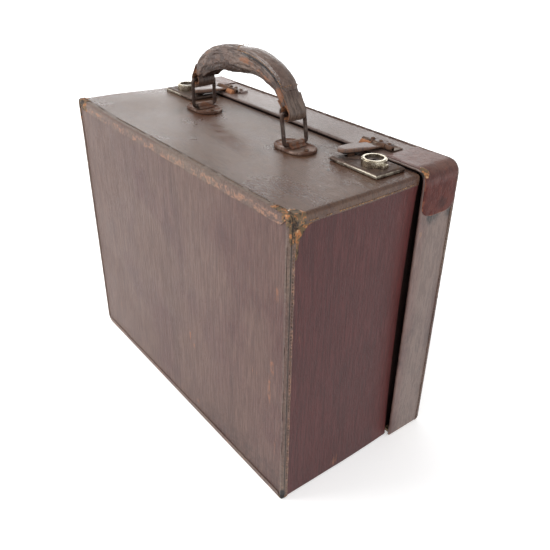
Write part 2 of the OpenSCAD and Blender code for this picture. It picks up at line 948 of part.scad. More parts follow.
// Thin lining glued inside the lid
module lid_lining() {
  t = lid_lining_t;
  y0 = lid_y + 4;
  leaf_half = hinge_len / 2 + 0.3;
  color(lining_col)
    difference() {
      lid_block(lid_in_x, lid_floor_z, lid_in_z, lid_in_r, y0, lid_panel_y);
      lid_block(lid_in_x - t, lid_floor_z + t, lid_in_z - t, lid_in_r, y0 - 1, lid_panel_y - t);
      for (x = [-hinge_x, hinge_x])
        box(x - leaf_half, x + leaf_half, y0 - 1, hinge_y + leaf_d + 0.3, 0, lid_floor_z + 2);
    }
}

// ---------- hinges ----------

// Interleaved knuckles, counted from the left: even ones on the body, odd ones on the lid
module knuckles(parity) {
  gap = 0.15;
  for (x = [-hinge_x, hinge_x])
    for (i = [0:4])
      if (i % 2 == parity)
        translate([x - hinge_len / 2 + i * knuckle_len + gap, 0, 0])
          children();
}

module hinge_leaves_body() {
  run = knuckle_len - 0.3;
  color(rust_col)
    difference() {
      union() {
        knuckles(0) {
          along_x(0, run, hinge_y, hinge_z, hinge_r);
          box(0, run, hinge_y - 6, hinge_y, floor_z, floor_z + leaf_t);
        }
        for (x = [-hinge_x, hinge_x])
          box(x - hinge_len / 2, x + hinge_len / 2, hinge_y - leaf_d, hinge_y - hinge_gap,
              floor_z, floor_z + leaf_t);
      }
      along_x(-skin_x, skin_x, hinge_y, hinge_z, hinge_pin_r);
      hinge_rivet_shanks(hinge_y - hinge_rivet_dy, 0, floor_z + 3);
    }
}

module hinge_leaves_lid() {
  run = knuckle_len - 0.3;
  color(rust_col)
    difference() {
      union() {
        knuckles(1) {
          along_x(0, run, hinge_y, hinge_z, hinge_r);
          box(0, run, hinge_y, hinge_y + 6, lid_floor_z, lid_floor_z + leaf_t);
        }
        for (x = [-hinge_x, hinge_x])
          box(x - hinge_len / 2, x + hinge_len / 2, hinge_y + hinge_gap, hinge_y + leaf_d,
              lid_floor_z, lid_floor_z + leaf_t);
      }
      along_x(-skin_x, skin_x, hinge_y, hinge_z, hinge_bore_r);
      hinge_rivet_shanks(hinge_y + hinge_rivet_dy, 0, lid_floor_z + 3);
    }
}

module hinge_pins() {
  color(steel_col)
    for (x = [-hinge_x, hinge_x])
      along_x(x - hinge_len / 2, x + hinge_len / 2, hinge_y, hinge_z, hinge_pin_r);
}

module hinge_rivet_set(y, z0, z1) {
  color(rust_col) {
    hinge_rivet_shanks(y, z0, z1);
    for (x = [-hinge_x, hinge_x])
      for (dx = [-hinge_rivet_dx, 0, hinge_rivet_dx])
        post(x + dx, y, z1, z1 + 0.8, hinge_rivet_r + 1);
  }
}

module hinge_rivets_body() {
  hinge_rivet_set(hinge_y - hinge_rivet_dy, leather_t, floor_z + leaf_t);
}

module hinge_rivets_lid() {
  hinge_rivet_set(hinge_y + hinge_rivet_dy, lid_skin_t, lid_floor_z + leaf_t);
}

// ---------- nodes ----------

front_board();
top_board();
bottom_board();
side_board(-1);  // left_board
side_board(1);  // right_board
front_leather();
top_leather();
bottom_leather();
side_leather(-1);  // left_leather
side_leather(1);  // right_leather
front_edge_binding();
rim_binding();
body_lining();
handle_plate(ring_left_x);  // handle_plate_left
handle_plate(ring_right_x);  // handle_plate_right
handle_rivets();
ring(ring_left_x, 0);  // ring_left
ring(ring_right_x, ring_right_lean);  // ring_right
handle_strap();
handle_filler();
handle_cover();
handle_grip_wrap();
lock_plate(-1);  // lock_plate_left
lock_plate(1);  // lock_plate_right
lock_case(-1);  // lock_case_left
lock_case(1);  // lock_case_right
lock_slide(-1);  // lock_slide_left
lock_slide(1);  // lock_slide_right
key_plug(-1);  // key_plug_left
key_plug(1);  // key_plug_right
lock_spring(-1);  // lock_spring_left
lock_spring(1);  // lock_spring_right
hasp(-1);  // hasp_left
hasp(1);  // hasp_right
hasp_leather(-1);  // hasp_leather_left
hasp_leather(1);  // hasp_leather_right
hasp_leaf(-1);  // hasp_leaf_left
hasp_leaf(1);  // hasp_leaf_right
hasp_pin(-1);  // hasp_pin_left
hasp_pin(1);  // hasp_pin_right
hasp_patch(-1);  // hasp_patch_left
hasp_patch(1);  // hasp_patch_right
hasp_rivets();
lid_panel_board();
lid_top_board();
lid_bottom_board();
lid_side_board(-1);  // lid_left_board
lid_side_board(1);  // lid_right_board
lid_panel_leather();
lid_band_leather();
lid_edge_binding();
lid_corner_patch(-1);  // lid_corner_patch_left
lid_corner_patch(1);  // lid_corner_patch_right
lid_lining();
hinge_leaves_body();
hinge_leaves_lid();
hinge_pins();
hinge_rivets_body();
hinge_rivets_lid();
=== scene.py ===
"""Looks of a rigid leather carrying case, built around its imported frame.

Lengths are in metres, in the frame's own axes: +X across the case, -Y the big
front panel, +Y the lid, +Z up. MM and DEG turn written values into them.
"""
import bisect
import math

import bmesh
import bpy
from mathutils import Matrix, Vector, noise


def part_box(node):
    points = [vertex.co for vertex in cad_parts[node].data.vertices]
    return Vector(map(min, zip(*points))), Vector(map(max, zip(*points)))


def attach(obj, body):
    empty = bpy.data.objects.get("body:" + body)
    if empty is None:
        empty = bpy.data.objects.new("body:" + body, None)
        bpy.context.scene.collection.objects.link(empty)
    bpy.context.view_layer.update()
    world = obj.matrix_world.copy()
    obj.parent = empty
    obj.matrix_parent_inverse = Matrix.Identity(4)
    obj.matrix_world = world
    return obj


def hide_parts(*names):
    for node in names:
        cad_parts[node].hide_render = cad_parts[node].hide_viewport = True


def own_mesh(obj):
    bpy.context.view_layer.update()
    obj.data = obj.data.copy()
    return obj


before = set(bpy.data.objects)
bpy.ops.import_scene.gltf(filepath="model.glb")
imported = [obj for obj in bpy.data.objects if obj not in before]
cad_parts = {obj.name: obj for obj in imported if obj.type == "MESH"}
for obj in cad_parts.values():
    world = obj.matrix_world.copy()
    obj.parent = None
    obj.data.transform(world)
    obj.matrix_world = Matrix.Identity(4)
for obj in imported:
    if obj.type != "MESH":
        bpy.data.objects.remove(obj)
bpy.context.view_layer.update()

MM = 0.001
DEG = math.pi / 180


# ---------- sizes taken from the frame ----------

skin_lo, skin_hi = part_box("front_leather")
bind_lo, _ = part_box("front_edge_binding")
wall_lo, wall_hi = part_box("right_leather")
_, base_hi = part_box("bottom_leather")
band_lo, band_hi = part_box("lid_band_leather")
_, panel_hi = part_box("lid_panel_leather")
strap_lo, strap_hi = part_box("handle_strap")
ring_left_lo, ring_left_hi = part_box("ring_left")
pin_lo, pin_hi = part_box("hasp_pin_right")
leaf_lo, leaf_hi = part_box("hasp_leaf_right")
patch_lo, patch_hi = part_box("hasp_patch_right")
corner_lo, corner_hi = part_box("lid_corner_patch_right")
plate_lo, plate_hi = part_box("lock_plate_right")
lock_holes = [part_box("lock_case_left"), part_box("lock_case_right")]

HALF = skin_hi.x
TOP = skin_hi.z
FRONT = bind_lo.y
SKIN_Y = skin_lo.y
SKIN_START = SKIN_Y + 1.5 * MM
MOUTH = wall_hi.y
LEATHER = skin_hi.y - skin_lo.y
CAD_INSET = HALF - LEATHER - wall_lo.x
BASE_END = base_hi.y
LID_HALF = band_hi.x
LID_TOP = band_hi.z
LID_FRONT = band_lo.y
LID_BACK = panel_hi.y


# ---------- small maths ----------

def clamp(value, low=0.0, high=1.0):
    return max(low, min(high, value))


def lerp(a, b, t):
    return a + (b - a) * t


def ramp(value, start, end):
    """0 before start, 1 after end, with a smooth rise between."""
    t = clamp((value - start) / (end - start))
    return t * t * (3 - 2 * t)


def bump(value, centre, width):
    """1 at centre, falling smoothly to 0 at width either side."""
    return ramp(width - abs(value - centre), 0, width)


def rough(point, size, seed=0, octaves=3):
    """Fractal noise, about -1 to 1, whose largest features are size across."""
    shift = Vector((seed * 3.17, seed * 7.31, seed * 1.73))
    return noise.fractal(Vector(point) / size + shift, 1.0, 2.0, octaves)


def arc(radius, start, end, steps, shift=0.0):
    """Points of an arc in a plane round (shift, 0), angles in degrees."""
    angles = [math.radians(lerp(start, end, i / steps)) for i in range(steps + 1)]
    return [(shift + radius * math.cos(a), radius * math.sin(a)) for a in angles]


def spread(start, end, pitch):
    """Evenly spaced values from start to end, no more than pitch apart."""
    count = max(1, math.ceil(abs(end - start) / pitch))
    return [lerp(start, end, i / count) for i in range(count + 1)]


# ---------- meshes ----------

WELD = 2e-6


def side_name(side):
    return "right" if side > 0 else "left"


def blunt(size, part, power):
    """size times a cosine or sine raised to a power below 1, which squares off a round section."""
    return size * math.copysign(abs(part) ** power, part)


def grids(rows, cols, place):
    """Two matching grids of points, a sheet's outer and inner face: place(row, col) gives a point of each."""
    pairs = [[place(row, col) for col in cols] for row in rows]
    return [[[pair[face] for pair in row] for row in pairs] for face in (0, 1)]


def finish_mesh(name, mesh, material, body, replaces, sharp):
    mesh.set_sharp_from_angle(angle=sharp * DEG)
    mesh.materials.append(material)
    piece = bpy.data.objects.new(name, mesh)
    bpy.context.scene.collection.objects.link(piece)
    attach(piece, body)
    if replaces:
        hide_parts(*replaces)
    return piece


def blot(co, place, size, edge=0.5):
    """1 inside an ellipsoid round place, with radii size in mm, falling to 0 outside it."""
    d = math.hypot(*((c - p * MM) / (r * MM) for c, p, r in zip(co, place, size)))
    return ramp(1 + edge - d, 0, 2 * edge)


def write_back(work, mesh, masks):
    """Smooths the faces, fills the mesh and stores each mask's value, 0 to 1, at every point."""
    for face in work.faces:
        face.smooth = True
    work.to_mesh(mesh)
    work.free()
    for mask, formula in masks.items():
        values = [clamp(formula(v.co)) for v in mesh.vertices]
        mesh.attributes.new(mask, "FLOAT", "POINT").data.foreach_set("value", values)


def solid(name, parts, material, body, slot, replaces=(), **masks):
    """One piece from a list of (points, faces) parts, welded and with its faces turned outwards. Each mask is
    a formula of a point's place."""
    verts, faces = [], []
    for points, part_faces in parts:
        base = len(verts)
        verts.extend(points)
        faces.extend([base + i for i in face] for face in part_faces)
    mesh = bpy.data.meshes.new(name)
    mesh.from_pydata([tuple(v) for v in verts], [], faces)
    work = bmesh.new()
    work.from_mesh(mesh)
    bmesh.ops.remove_doubles(work, verts=work.verts, dist=WELD)
    bmesh.ops.dissolve_degenerate(work, edges=work.edges, dist=WELD)
    bmesh.ops.recalc_face_normals(work, faces=work.faces)
    write_back(work, mesh, masks)
    return finish_mesh(name, mesh, material, body, replaces, 35)


def shell(outer, inner, wrap=False, keep=None):
    """A closed sheet between two grids of points. wrap joins the last column to the first; keep(i, j)
    says whether a cell is leather or a hole."""
    rows, cols = len(outer), len(outer[0])
    base = rows * cols
    cells = cols if wrap else cols - 1
    points = [p for row in outer for p in row] + [p for row in inner for p in row]
    faces = []

    def there(i, j):
        if wrap:
            j %= cols
        return 0 <= i < rows - 1 and 0 <= j < cells and (keep is None or keep(i, j))

    for i in range(rows - 1):
        for j in range(cells):
            if not there(i, j):
                continue
            k = (j + 1) % cols
            a, b, c, d = i * cols + j, i * cols + k, (i + 1) * cols + k, (i + 1) * cols + j
            faces.append((a, b, c, d))
            faces.append((base + d, base + c, base + b, base + a))
            sides = ((i - 1, j, a, b), (i + 1, j, c, d), (i, j + 1, b, c), (i, j - 1, d, a))
            for row, col, p, q in sides:
                if not there(row, col):
                    faces.append((q, p, base + p, base + q))
    return points, faces


def tube(rings):
    """A closed bar through rings of points."""
    rows, cols = len(rings), len(rings[0])
    faces = []
    for i in range(rows - 1):
        for j in range(cols):
            k = (j + 1) % cols
            faces.append((i * cols + j, i * cols + k, (i + 1) * cols + k, (i + 1) * cols + j))
    faces.append(list(range(cols))[::-1])
    faces.append([(rows - 1) * cols + j for j in range(cols)])
    return [p for ring in rings for p in ring], faces


def softened(node, name, material, body, slot, width, dents=0.0, **masks):
    """A copy of a CAD node with rounded edges and, where dents is set, slightly uneven faces."""
    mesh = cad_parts[node].data.copy()
    mesh.name = name
    mesh.materials.clear()
    work = bmesh.new()
    work.from_mesh(mesh)
    bmesh.ops.remove_doubles(work, verts=work.verts, dist=1e-6)
    bmesh.ops.dissolve_limit(work, angle_limit=1.2 * DEG, verts=work.verts, edges=work.edges)
    sharp = [e for e in work.edges if len(e.link_faces) == 2 and e.calc_face_angle(0) > 30 * DEG]
    bmesh.ops.bevel(
        work, geom=sharp, offset=width, offset_type="OFFSET", segments=2, profile=0.5,
        affect="EDGES", clamp_overlap=True,
    )
    bmesh.ops.recalc_face_normals(work, faces=work.faces)
    if dents:
        for vert in work.verts:
            vert.co.z += dents * rough(vert.co, 12 * MM, 1)
    write_back(work, mesh, masks)
    piece = finish_mesh(name, mesh, material, body, [node], 40)
    normals = piece.modifiers.new("normals", "WEIGHTED_NORMAL")
    normals.keep_sharp = True
    return piece


def on_side(parts, side):
    """Parts built for the right of the case, mirrored to the left when side is -1."""
    if side > 0:
        return parts
    return [([Vector((-p[0], p[1], p[2])) for p in points], faces) for points, faces in parts]


# ---------- materials ----------

def srgb(red, green, blue):
    def linear(c):
        c /= 255
        return c / 12.92 if c <= 0.04045 else ((c + 0.055) / 1.055) ** 2.4
    return (linear(red), linear(green), linear(blue), 1.0)


class Shader:
    """A material whose nodes are added by short calls that return sockets."""

    def __init__(self, name):
        self.material = bpy.data.materials.new(name)
        self.material.use_nodes = True
        self.tree = self.material.node_tree
        self.tree.nodes.clear()
        self.place = self.add("ShaderNodeTexCoord").outputs["Object"]

    def add(self, kind, inputs=(), **settings):
        made = self.tree.nodes.new(kind)
        for key, value in settings.items():
            setattr(made, key, value)
        for key, value in dict(inputs).items():
            if isinstance(value, bpy.types.NodeSocket):
                self.tree.links.new(value, made.inputs[key])
            else:
                made.inputs[key].default_value = value
        return made

    def stretched(self, x, y, z):
        """The piece's own coordinates, measured in cells of x, y and z metres."""
        scale = (1 / x, 1 / y, 1 / z)
        return self.add("ShaderNodeMapping", {"Vector": self.place, "Scale": scale}).outputs[0]

    def noise(self, vector, scale=1.0, detail=3.0, rough=0.55, warp=0.0):
        inputs = {"Vector": vector, "Scale": scale, "Detail": detail, "Roughness": rough, "Distortion": warp}
        return self.add("ShaderNodeTexNoise", inputs).outputs["Fac"]

    def step(self, value, start, end, low=0.0, high=1.0):
        inputs = {"Value": value, "From Min": start, "From Max": end, "To Min": low, "To Max": high}
        return self.add("ShaderNodeMapRange", inputs, interpolation_type="SMOOTHSTEP").outputs["Result"]

    def maths(self, operation, a, b=0.0, keep=False):
        return self.add("ShaderNodeMath", {0: a, 1: b}, operation=operation, use_clamp=keep).outputs[0]

    def mask(self, name):
        return self.add("ShaderNodeAttribute", attribute_name=name).outputs["Fac"]

    def mix(self, factor, a, b):
        made = self.add("ShaderNodeMix", {0: factor, 6: a, 7: b}, data_type="RGBA", blend_type="MIX")
        return made.outputs[2]

    def bump(self, height, distance):
        inputs = {"Height": height, "Distance": distance, "Strength": 1.0}
        return self.add("ShaderNodeBump", inputs).outputs["Normal"]

    def surface(self, colour, roughness, normal=None, **more):
        inputs = {"Base Color": colour, "Roughness": roughness}
        if normal is not None:
            inputs["Normal"] = normal
        for key, value in more.items():
            inputs[key.replace("_", " ")] = value
        shader = self.add("ShaderNodeBsdfPrincipled", inputs)
        self.add("ShaderNodeOutputMaterial", {"Surface": shader.outputs[0]})
        return self.material


def leather(
    name, deep, base, faded, rubbed, raw, grain, depth=0.3 * MM, gloss=0.42, fade=0.5, cut=0.5, specular=0.5
):
    """Old leather. deep lies in the grain and faded over base in clouds. grain is the size of its lines on
    each axis and cut how dark they are. Masks painted on the piece: faded (fading, and on some pieces
    painted sheen and highlights), red and matt (on the top a painted reflection), wear (rubbed, then raw),
    torn and dark (grime, and on some pieces painted shade)."""
    s = Shader(name)
    lines = s.noise(s.stretched(*grain), 1.0, 3.0, 0.78, 0.25)
    ridge = s.step(lines, 0.4, 0.6)
    pores = s.noise(s.place, 1500.0, 2.0, 0.6)
    clouds = s.noise(s.place, 11.0, 5.0, 0.62, 0.3)
    streaks = s.noise(s.stretched(*[g * 7 for g in grain]), 1.0, 4.0, 0.6)
    fray = s.noise(s.place, 260.0, 5.0, 0.72)
    # Paler in clouds and where the mask says: fading, and on some pieces a painted sheen or highlight.
    paling = s.maths("ADD", s.step(clouds, 0.5 - fade / 2, 0.86 - fade / 2), s.mask("faded"), keep=True)
    colour = s.mix(paling, base, faded)
    colour = s.mix(s.mask("red"), colour, srgb(94, 32, 28))
    colour = s.mix(s.step(streaks, 0.52, 0.72, 0.0, cut * 0.5), colour, faded)
    colour = s.mix(s.step(streaks, 0.48, 0.3, 0.0, cut * 0.5), colour, deep)
    colour = s.mix(s.step(ridge, 0.6, 0.0, 0.0, cut), colour, deep)
    colour = s.mix(s.step(ridge, 0.7, 1.0, 0.0, cut * 0.4), colour, faded)
    loose = s.maths("MULTIPLY", s.maths("SUBTRACT", fray, 0.5), 0.9)
    wear = s.maths("ADD", s.mask("wear"), loose)
    wear = s.maths("ADD", wear, s.maths("MULTIPLY", s.maths("SUBTRACT", ridge, 0.6), 0.2))
    colour = s.mix(s.step(wear, 0.4, 0.62, 0.0, 0.8), colour, rubbed)
    colour = s.mix(s.step(wear, 0.74, 0.95), colour, raw)
    scraps = s.noise(s.place, 170.0, 4.0, 0.62, 0.5)
    patchy = s.mix(s.step(scraps, 0.38, 0.46), srgb(44, 31, 23), srgb(104, 84, 60))
    patchy = s.mix(s.step(scraps, 0.52, 0.58), patchy, srgb(172, 112, 68))
    patchy = s.mix(s.step(scraps, 0.62, 0.68), patchy, srgb(196, 166, 130))
    torn = s.maths("MULTIPLY", s.maths("ADD", s.mask("torn"), loose), s.step(s.mask("torn"), 0.0, 0.15))
    colour = s.mix(s.step(torn, 0.42, 0.56), colour, patchy)
    # Near-black where the dark mask says: grime, and on some pieces painted shade.
    darkening = s.maths("ADD", s.mask("dark"), s.maths("MULTIPLY", loose, 0.7))
    colour = s.mix(s.step(darkening, 0.3, 0.75), colour, srgb(26, 17, 15))
    shine = s.maths("ADD", s.step(clouds, 0.3, 0.7, gloss, gloss + 0.12), s.step(wear, 0.4, 0.9, 0.0, 0.25))
    shine = s.maths("ADD", shine, s.step(torn, 0.4, 0.6, 0.0, 0.3))
    height = s.maths("ADD", s.maths("MULTIPLY", ridge, 0.75), s.maths("MULTIPLY", pores, 0.25))
    height = s.maths("SUBTRACT", height, s.step(wear, 0.5, 0.9, 0.0, 0.5))
    layers = s.maths("MULTIPLY", s.step(torn, 0.4, 0.6), s.maths("MULTIPLY", scraps, 4.0))
    height = s.maths("ADD", height, layers)
    polish = s.maths("MULTIPLY", specular, s.maths("SUBTRACT", 1.0, s.mask("matt")))
    return s.surface(colour, shine, s.bump(height, depth), Specular_IOR_Level=polish)


def metal(name, bright, dull, rust, rust_share, gloss, grime=0.5):
    """Old plated steel: bright metal, dull tarnish over it, and matt rust over both. The wear mask bares
    bright metal and the dark mask lays grime."""
    s = Shader(name)
    clouds = s.noise(s.place, 90.0, 6.0, 0.65, 0.4)
    fine = s.noise(s.place, 900.0, 5.0, 0.7)
    loose = s.maths("MULTIPLY", s.maths("SUBTRACT", clouds, 0.5), 1.1)
    bared = s.step(s.maths("ADD", s.mask("wear"), loose), 0.35, 0.6)
    tarnish = s.step(clouds, 0.34, 0.6)
    spots = s.maths("ADD", s.maths("MULTIPLY", clouds, 0.6), s.maths("MULTIPLY", fine, 0.4))
    rusty = s.step(spots, 0.62 - rust_share * 0.3, 0.7 - rust_share * 0.3)
    rusty = s.maths("MULTIPLY", rusty, s.maths("SUBTRACT", 1.0, bared))
    colour = s.mix(tarnish, bright, dull)
    colour = s.mix(rusty, colour, rust)
    colour = s.mix(bared, colour, srgb(190, 182, 166))
    colour = s.mix(s.step(fine, 0.55, 0.4, 0.0, grime), colour, srgb(44, 33, 28))
    darkening = s.maths("ADD", s.mask("dark"), loose)
    colour = s.mix(s.step(darkening, 0.3, 0.8, 0.0, 0.9), colour, srgb(44, 32, 30))
    shine = s.maths("ADD", s.step(fine, 0.3, 0.7, gloss, gloss + 0.2), s.maths("MULTIPLY", rusty, 0.4))
    metallic = s.maths("SUBTRACT", 1.0, s.maths("MULTIPLY", rusty, 0.85))
    height = s.maths("ADD", s.maths("MULTIPLY", fine, 0.5), rusty)
    return s.surface(colour, shine, s.bump(height, 0.12 * MM), Metallic=metallic)


def thread_material(name, pale, dark):
    s = Shader(name)
    darkening = s.noise(s.place, 130.0, 4.0, 0.6)
    twist = s.noise(s.place, 3200.0, 1.0, 0.5)
    colour = s.mix(s.step(darkening, 0.38, 0.6), pale, dark)
    return s.surface(colour, 0.85, s.bump(twist, 0.1 * MM))


def lining_material(name):
    """Cloth-backed paper, browned and stained."""
    s = Shader(name)
    stains = s.noise(s.place, 14.0, 6.0, 0.65, 0.5)
    across = s.noise(s.stretched(0.5 * MM, 6 * MM, 6 * MM), 1.0, 1.0)
    down = s.noise(s.stretched(6 * MM, 6 * MM, 0.5 * MM), 1.0, 1.0)
    weave = s.maths("ADD", across, down)
    colour = s.mix(s.step(stains, 0.35, 0.65), srgb(150, 127, 98), srgb(118, 94, 70))
    colour = s.mix(s.step(weave, 1.05, 0.85, 0.0, 0.35), colour, srgb(84, 64, 47))
    return s.surface(colour, 0.9, s.bump(weave, 0.12 * MM))


def board_material(name):
    s = Shader(name)
    pulp = s.noise(s.place, 420.0, 5.0, 0.7)
    colour = s.mix(s.step(pulp, 0.35, 0.65), srgb(161, 136, 104), srgb(121, 97, 72))
    return s.surface(colour, 0.92, s.bump(pulp, 0.15 * MM))


LINE = 1.15 * MM
LONG = 36 * MM

front_leather = leather(
    "front_leather", srgb(50, 26, 25), srgb(84, 47, 44), srgb(110, 86, 77), srgb(150, 102, 78),
    srgb(190, 126, 88), (LINE, LINE, LONG), gloss=0.38, fade=0.45, cut=0.5, specular=0.35,
)
side_leather = leather(
    "side_leather", srgb(40, 15, 16), srgb(74, 29, 30), srgb(86, 46, 46), srgb(140, 92, 66),
    srgb(176, 118, 76), (LINE, LINE, LONG), gloss=0.42, fade=0.45, cut=0.5, specular=0.35,
)
top_leather = leather(
    "top_leather", srgb(44, 25, 19), srgb(78, 48, 36), srgb(100, 73, 55), srgb(124, 94, 72),
    srgb(178, 122, 84), (14 * MM, 1.1 * MM, 4 * MM), depth=0.14 * MM, gloss=0.23, fade=0.45, cut=0.5,
)
base_leather = leather(
    "base_leather", srgb(40, 28, 26), srgb(66, 47, 43), srgb(84, 66, 60), srgb(112, 78, 56),
    srgb(150, 104, 70), (3 * MM, 20 * MM, 3 * MM), gloss=0.55,
)
# Near-black leather for the rim: its colour is painted shade in the gap under the lid's edge.
rim_shade_leather = leather(
    "rim_shade_leather", srgb(12, 7, 6), srgb(26, 14, 13), srgb(38, 23, 20), srgb(60, 36, 28),
    srgb(80, 50, 36), (3 * MM, 3 * MM, 12 * MM), gloss=0.6, specular=0.2,
)
binding_leather = leather(
    "binding_leather", srgb(50, 33, 29), srgb(96, 67, 59), srgb(118, 99, 86), srgb(160, 117, 92),
    srgb(194, 134, 94), (2.2 * MM, 2.2 * MM, 2.2 * MM), depth=0.3 * MM, gloss=0.42, fade=0.3, cut=0.4,
)
lid_leather = leather(
    "lid_leather", srgb(54, 36, 33), srgb(86, 60, 55), srgb(116, 96, 88), srgb(132, 98, 78),
    srgb(188, 120, 74), (3 * MM, 3 * MM, 18 * MM), depth=0.14 * MM, gloss=0.28, fade=0.5, cut=0.3,
)
patch_leather = leather(
    "patch_leather", srgb(44, 17, 13), srgb(76, 29, 22), srgb(104, 68, 57), srgb(146, 90, 64),
    srgb(190, 126, 84), (5 * MM, 5 * MM, 9 * MM), depth=0.14 * MM, gloss=0.28, fade=0.1, cut=0.3,
)
grip_leather = leather(
    "grip_leather", srgb(46, 31, 25), srgb(90, 67, 58), srgb(120, 101, 90), srgb(138, 90, 60),
    srgb(172, 108, 62), (14 * MM, 1.7 * MM, 14 * MM), depth=0.5 * MM, gloss=0.32, fade=0.45, cut=0.6,
)
saddle_leather = leather(
    "saddle_leather", srgb(52, 36, 30), srgb(88, 66, 57), srgb(116, 97, 87), srgb(132, 92, 64),
    srgb(172, 108, 62), (9 * MM, 5 * MM, 9 * MM), depth=0.25 * MM, gloss=0.24, fade=0.5, cut=0.4,
)
under_leather = leather(
    "under_leather", srgb(20, 12, 10), srgb(44, 25, 21), srgb(66, 41, 33), srgb(118, 70, 44),
    srgb(160, 98, 56), (8 * MM, 1.5 * MM, 8 * MM), depth=0.5 * MM, gloss=0.55, fade=0.4,
)
raw_leather = leather(
    "raw_leather", srgb(70, 40, 24), srgb(136, 84, 52), srgb(168, 114, 76), srgb(182, 126, 86),
    srgb(204, 152, 106), (8 * MM, 1.2 * MM, 8 * MM), depth=0.5 * MM, gloss=0.6, fade=0.5,
)
rusty_steel = metal(
    "rusty_steel", srgb(124, 108, 96), srgb(86, 68, 60), srgb(108, 76, 57), 0.6, 0.36
)
plate_steel = metal(
    "plate_steel", srgb(156, 134, 122), srgb(122, 99, 89), srgb(132, 88, 64), 0.5, 0.4, grime=0.3
)
ring_steel = metal(
    "ring_steel", srgb(112, 100, 94), srgb(72, 58, 53), srgb(82, 60, 50), 0.45, 0.32
)
lock_steel = metal(
    "lock_steel", srgb(112, 98, 90), srgb(92, 76, 70), srgb(98, 76, 62), 0.4, 0.34
)
nickel = metal(
    "nickel", srgb(224, 218, 202), srgb(176, 164, 142), srgb(122, 92, 66), 0.08, 0.16, grime=0.3
)
copper_rust = metal(
    "copper_rust", srgb(208, 152, 112), srgb(186, 130, 94), srgb(172, 116, 80), 0.8, 0.45, grime=0.25
)
fleck = thread_material("fleck", srgb(236, 232, 222), srgb(206, 198, 184))
tan_thread = thread_material("tan_thread", srgb(176, 134, 92), srgb(96, 68, 48))
dark_thread = thread_material("dark_thread", srgb(112, 84, 64), srgb(48, 34, 28))
lining = lining_material("lining")
board = board_material("board")


# ---------- camera, light and floor ----------

def make_camera():
    """The camera's place is given in front of the case; its three directions are square to each other."""
    right = Vector((0.6080792, 0.79375338, 0.01397304)).normalized()
    ahead = Vector((-0.68078445, 0.53042844, -0.50515166)).normalized()
    up = right.cross(ahead).normalized()
    data = bpy.data.cameras.new("camera")
    data.lens = 41.588
    data.sensor_width = 36
    camera = bpy.data.objects.new("camera", data)
    turn = Matrix((right, up, -ahead)).transposed().to_4x4()
    camera.matrix_world = Matrix.Translation((0.54593, -0.38183, 0.52455)) @ turn
    bpy.context.scene.collection.objects.link(camera)
    bpy.context.scene.camera = camera


def make_light(name, place, aim, size, power):
    data = bpy.data.lights.new(name, "AREA")
    data.shape = "RECTANGLE"
    data.size, data.size_y = size
    data.energy = power
    light = bpy.data.objects.new(name, data)
    light.location = place
    light.rotation_euler = (Vector(aim) - Vector(place)).to_track_quat("-Z", "Y").to_euler()
    bpy.context.scene.collection.objects.link(light)


def make_stage():
    """A white floor in a white room."""
    mesh = bpy.data.meshes.new("floor")
    reach = 6.0
    corners = [(-reach, -reach, 0), (reach, -reach, 0), (reach, reach, 0), (-reach, reach, 0)]
    mesh.from_pydata(corners, [], [(0, 1, 2, 3)])
    floor = bpy.data.objects.new("floor", mesh)
    s = Shader("floor")
    glow = {"Emission_Color": (1, 1, 1, 1), "Emission_Strength": 0.42}
    s.surface(srgb(248, 248, 248), 0.75, Specular_IOR_Level=0.2, **glow)
    mesh.materials.append(s.material)
    bpy.context.scene.collection.objects.link(floor)
    world = bpy.data.worlds.new("studio")
    world.use_nodes = True
    light = world.node_tree.nodes["Background"].inputs
    light["Color"].default_value = (1, 1, 1, 1)
    light["Strength"].default_value = 0.7
    bpy.context.scene.world = world
    bpy.context.scene.view_settings.view_transform = "Standard"


make_camera()
make_stage()
make_light("window", (-1.3, -1.5, 1.9), (0, 0, 0.2), (1.6, 1.6), 42)
make_light("low_window", (-2.7, 1.35, 0.7), (0, 0, 0.3), (1.6, 0.9), 11)
make_light("back_window", (-1.75, 2.0, 1.25), (0, 0, 0.3), (1.0, 0.7), 5)
make_light("fill", (2.2, -0.8, 1.0), (0, 0, 0.15), (1.4, 1.4), 6)


# ---------- outlines in X and Z ----------

class Outline:
    """A rounded rectangle in X and Z. at(s) walks it anticlockwise, seen from the front, from the middle of
    its base, and gives a point and the outward direction there."""

    def __init__(self, half, low, high, radii):
        steps = 6
        corners = zip(((1, 0), (1, 1), (-1, 1), (-1, 0)), radii, (-90, 0, 90, 180))
        self.points = [(0, low, 0, -1)]
        self.corners = []
        for (sx, top), radius, start in corners:
            cx = sx * (half - radius)
            cz = high - radius if top else low + radius
            first = len(self.points)
            for i in range(steps + 1):
                a = (start + 90 * i / steps) * DEG
                nx, nz = math.cos(a), math.sin(a)
                self.points.append((cx + radius * nx, cz + radius * nz, nx, nz))
            self.corners.append((first, len(self.points) - 1))
        self.points.append((0, low, 0, -1))
        self.lengths = [0.0]
        for a, b in zip(self.points, self.points[1:]):
            self.lengths.append(self.lengths[-1] + math.hypot(b[0] - a[0], b[1] - a[1]))
        self.total = self.lengths[-1]

    def at(self, s):
        s %= self.total
        i = min(bisect.bisect_right(self.lengths, s) - 1, len(self.points) - 2)
        a, b = self.points[i], self.points[i + 1]
        t = (s - self.lengths[i]) / max(1e-12, self.lengths[i + 1] - self.lengths[i])
        x, z, nx, nz = (lerp(p, q, t) for p, q in zip(a, b))
        size = math.hypot(nx, nz)
        return x, z, nx / size, nz / size

    def corner(self, number, t=0.5):
        """How far round the outline a corner is: 0 base right, 1 top right, 2 top left, 3 base left."""
        first, last = self.corners[number]
        return lerp(self.lengths[first], self.lengths[last], t)

    def run(self, start, end, pitch):
        """Distances from start to end, at most pitch apart, that keep every corner point."""
        marks = [start] + [s for s in self.lengths if start + 1e-6 < s < end - 1e-6] + [end]
        found = [start]
        for a, b in zip(marks, marks[1:]):
            found.extend(spread(a, b, pitch)[1:])
        return found


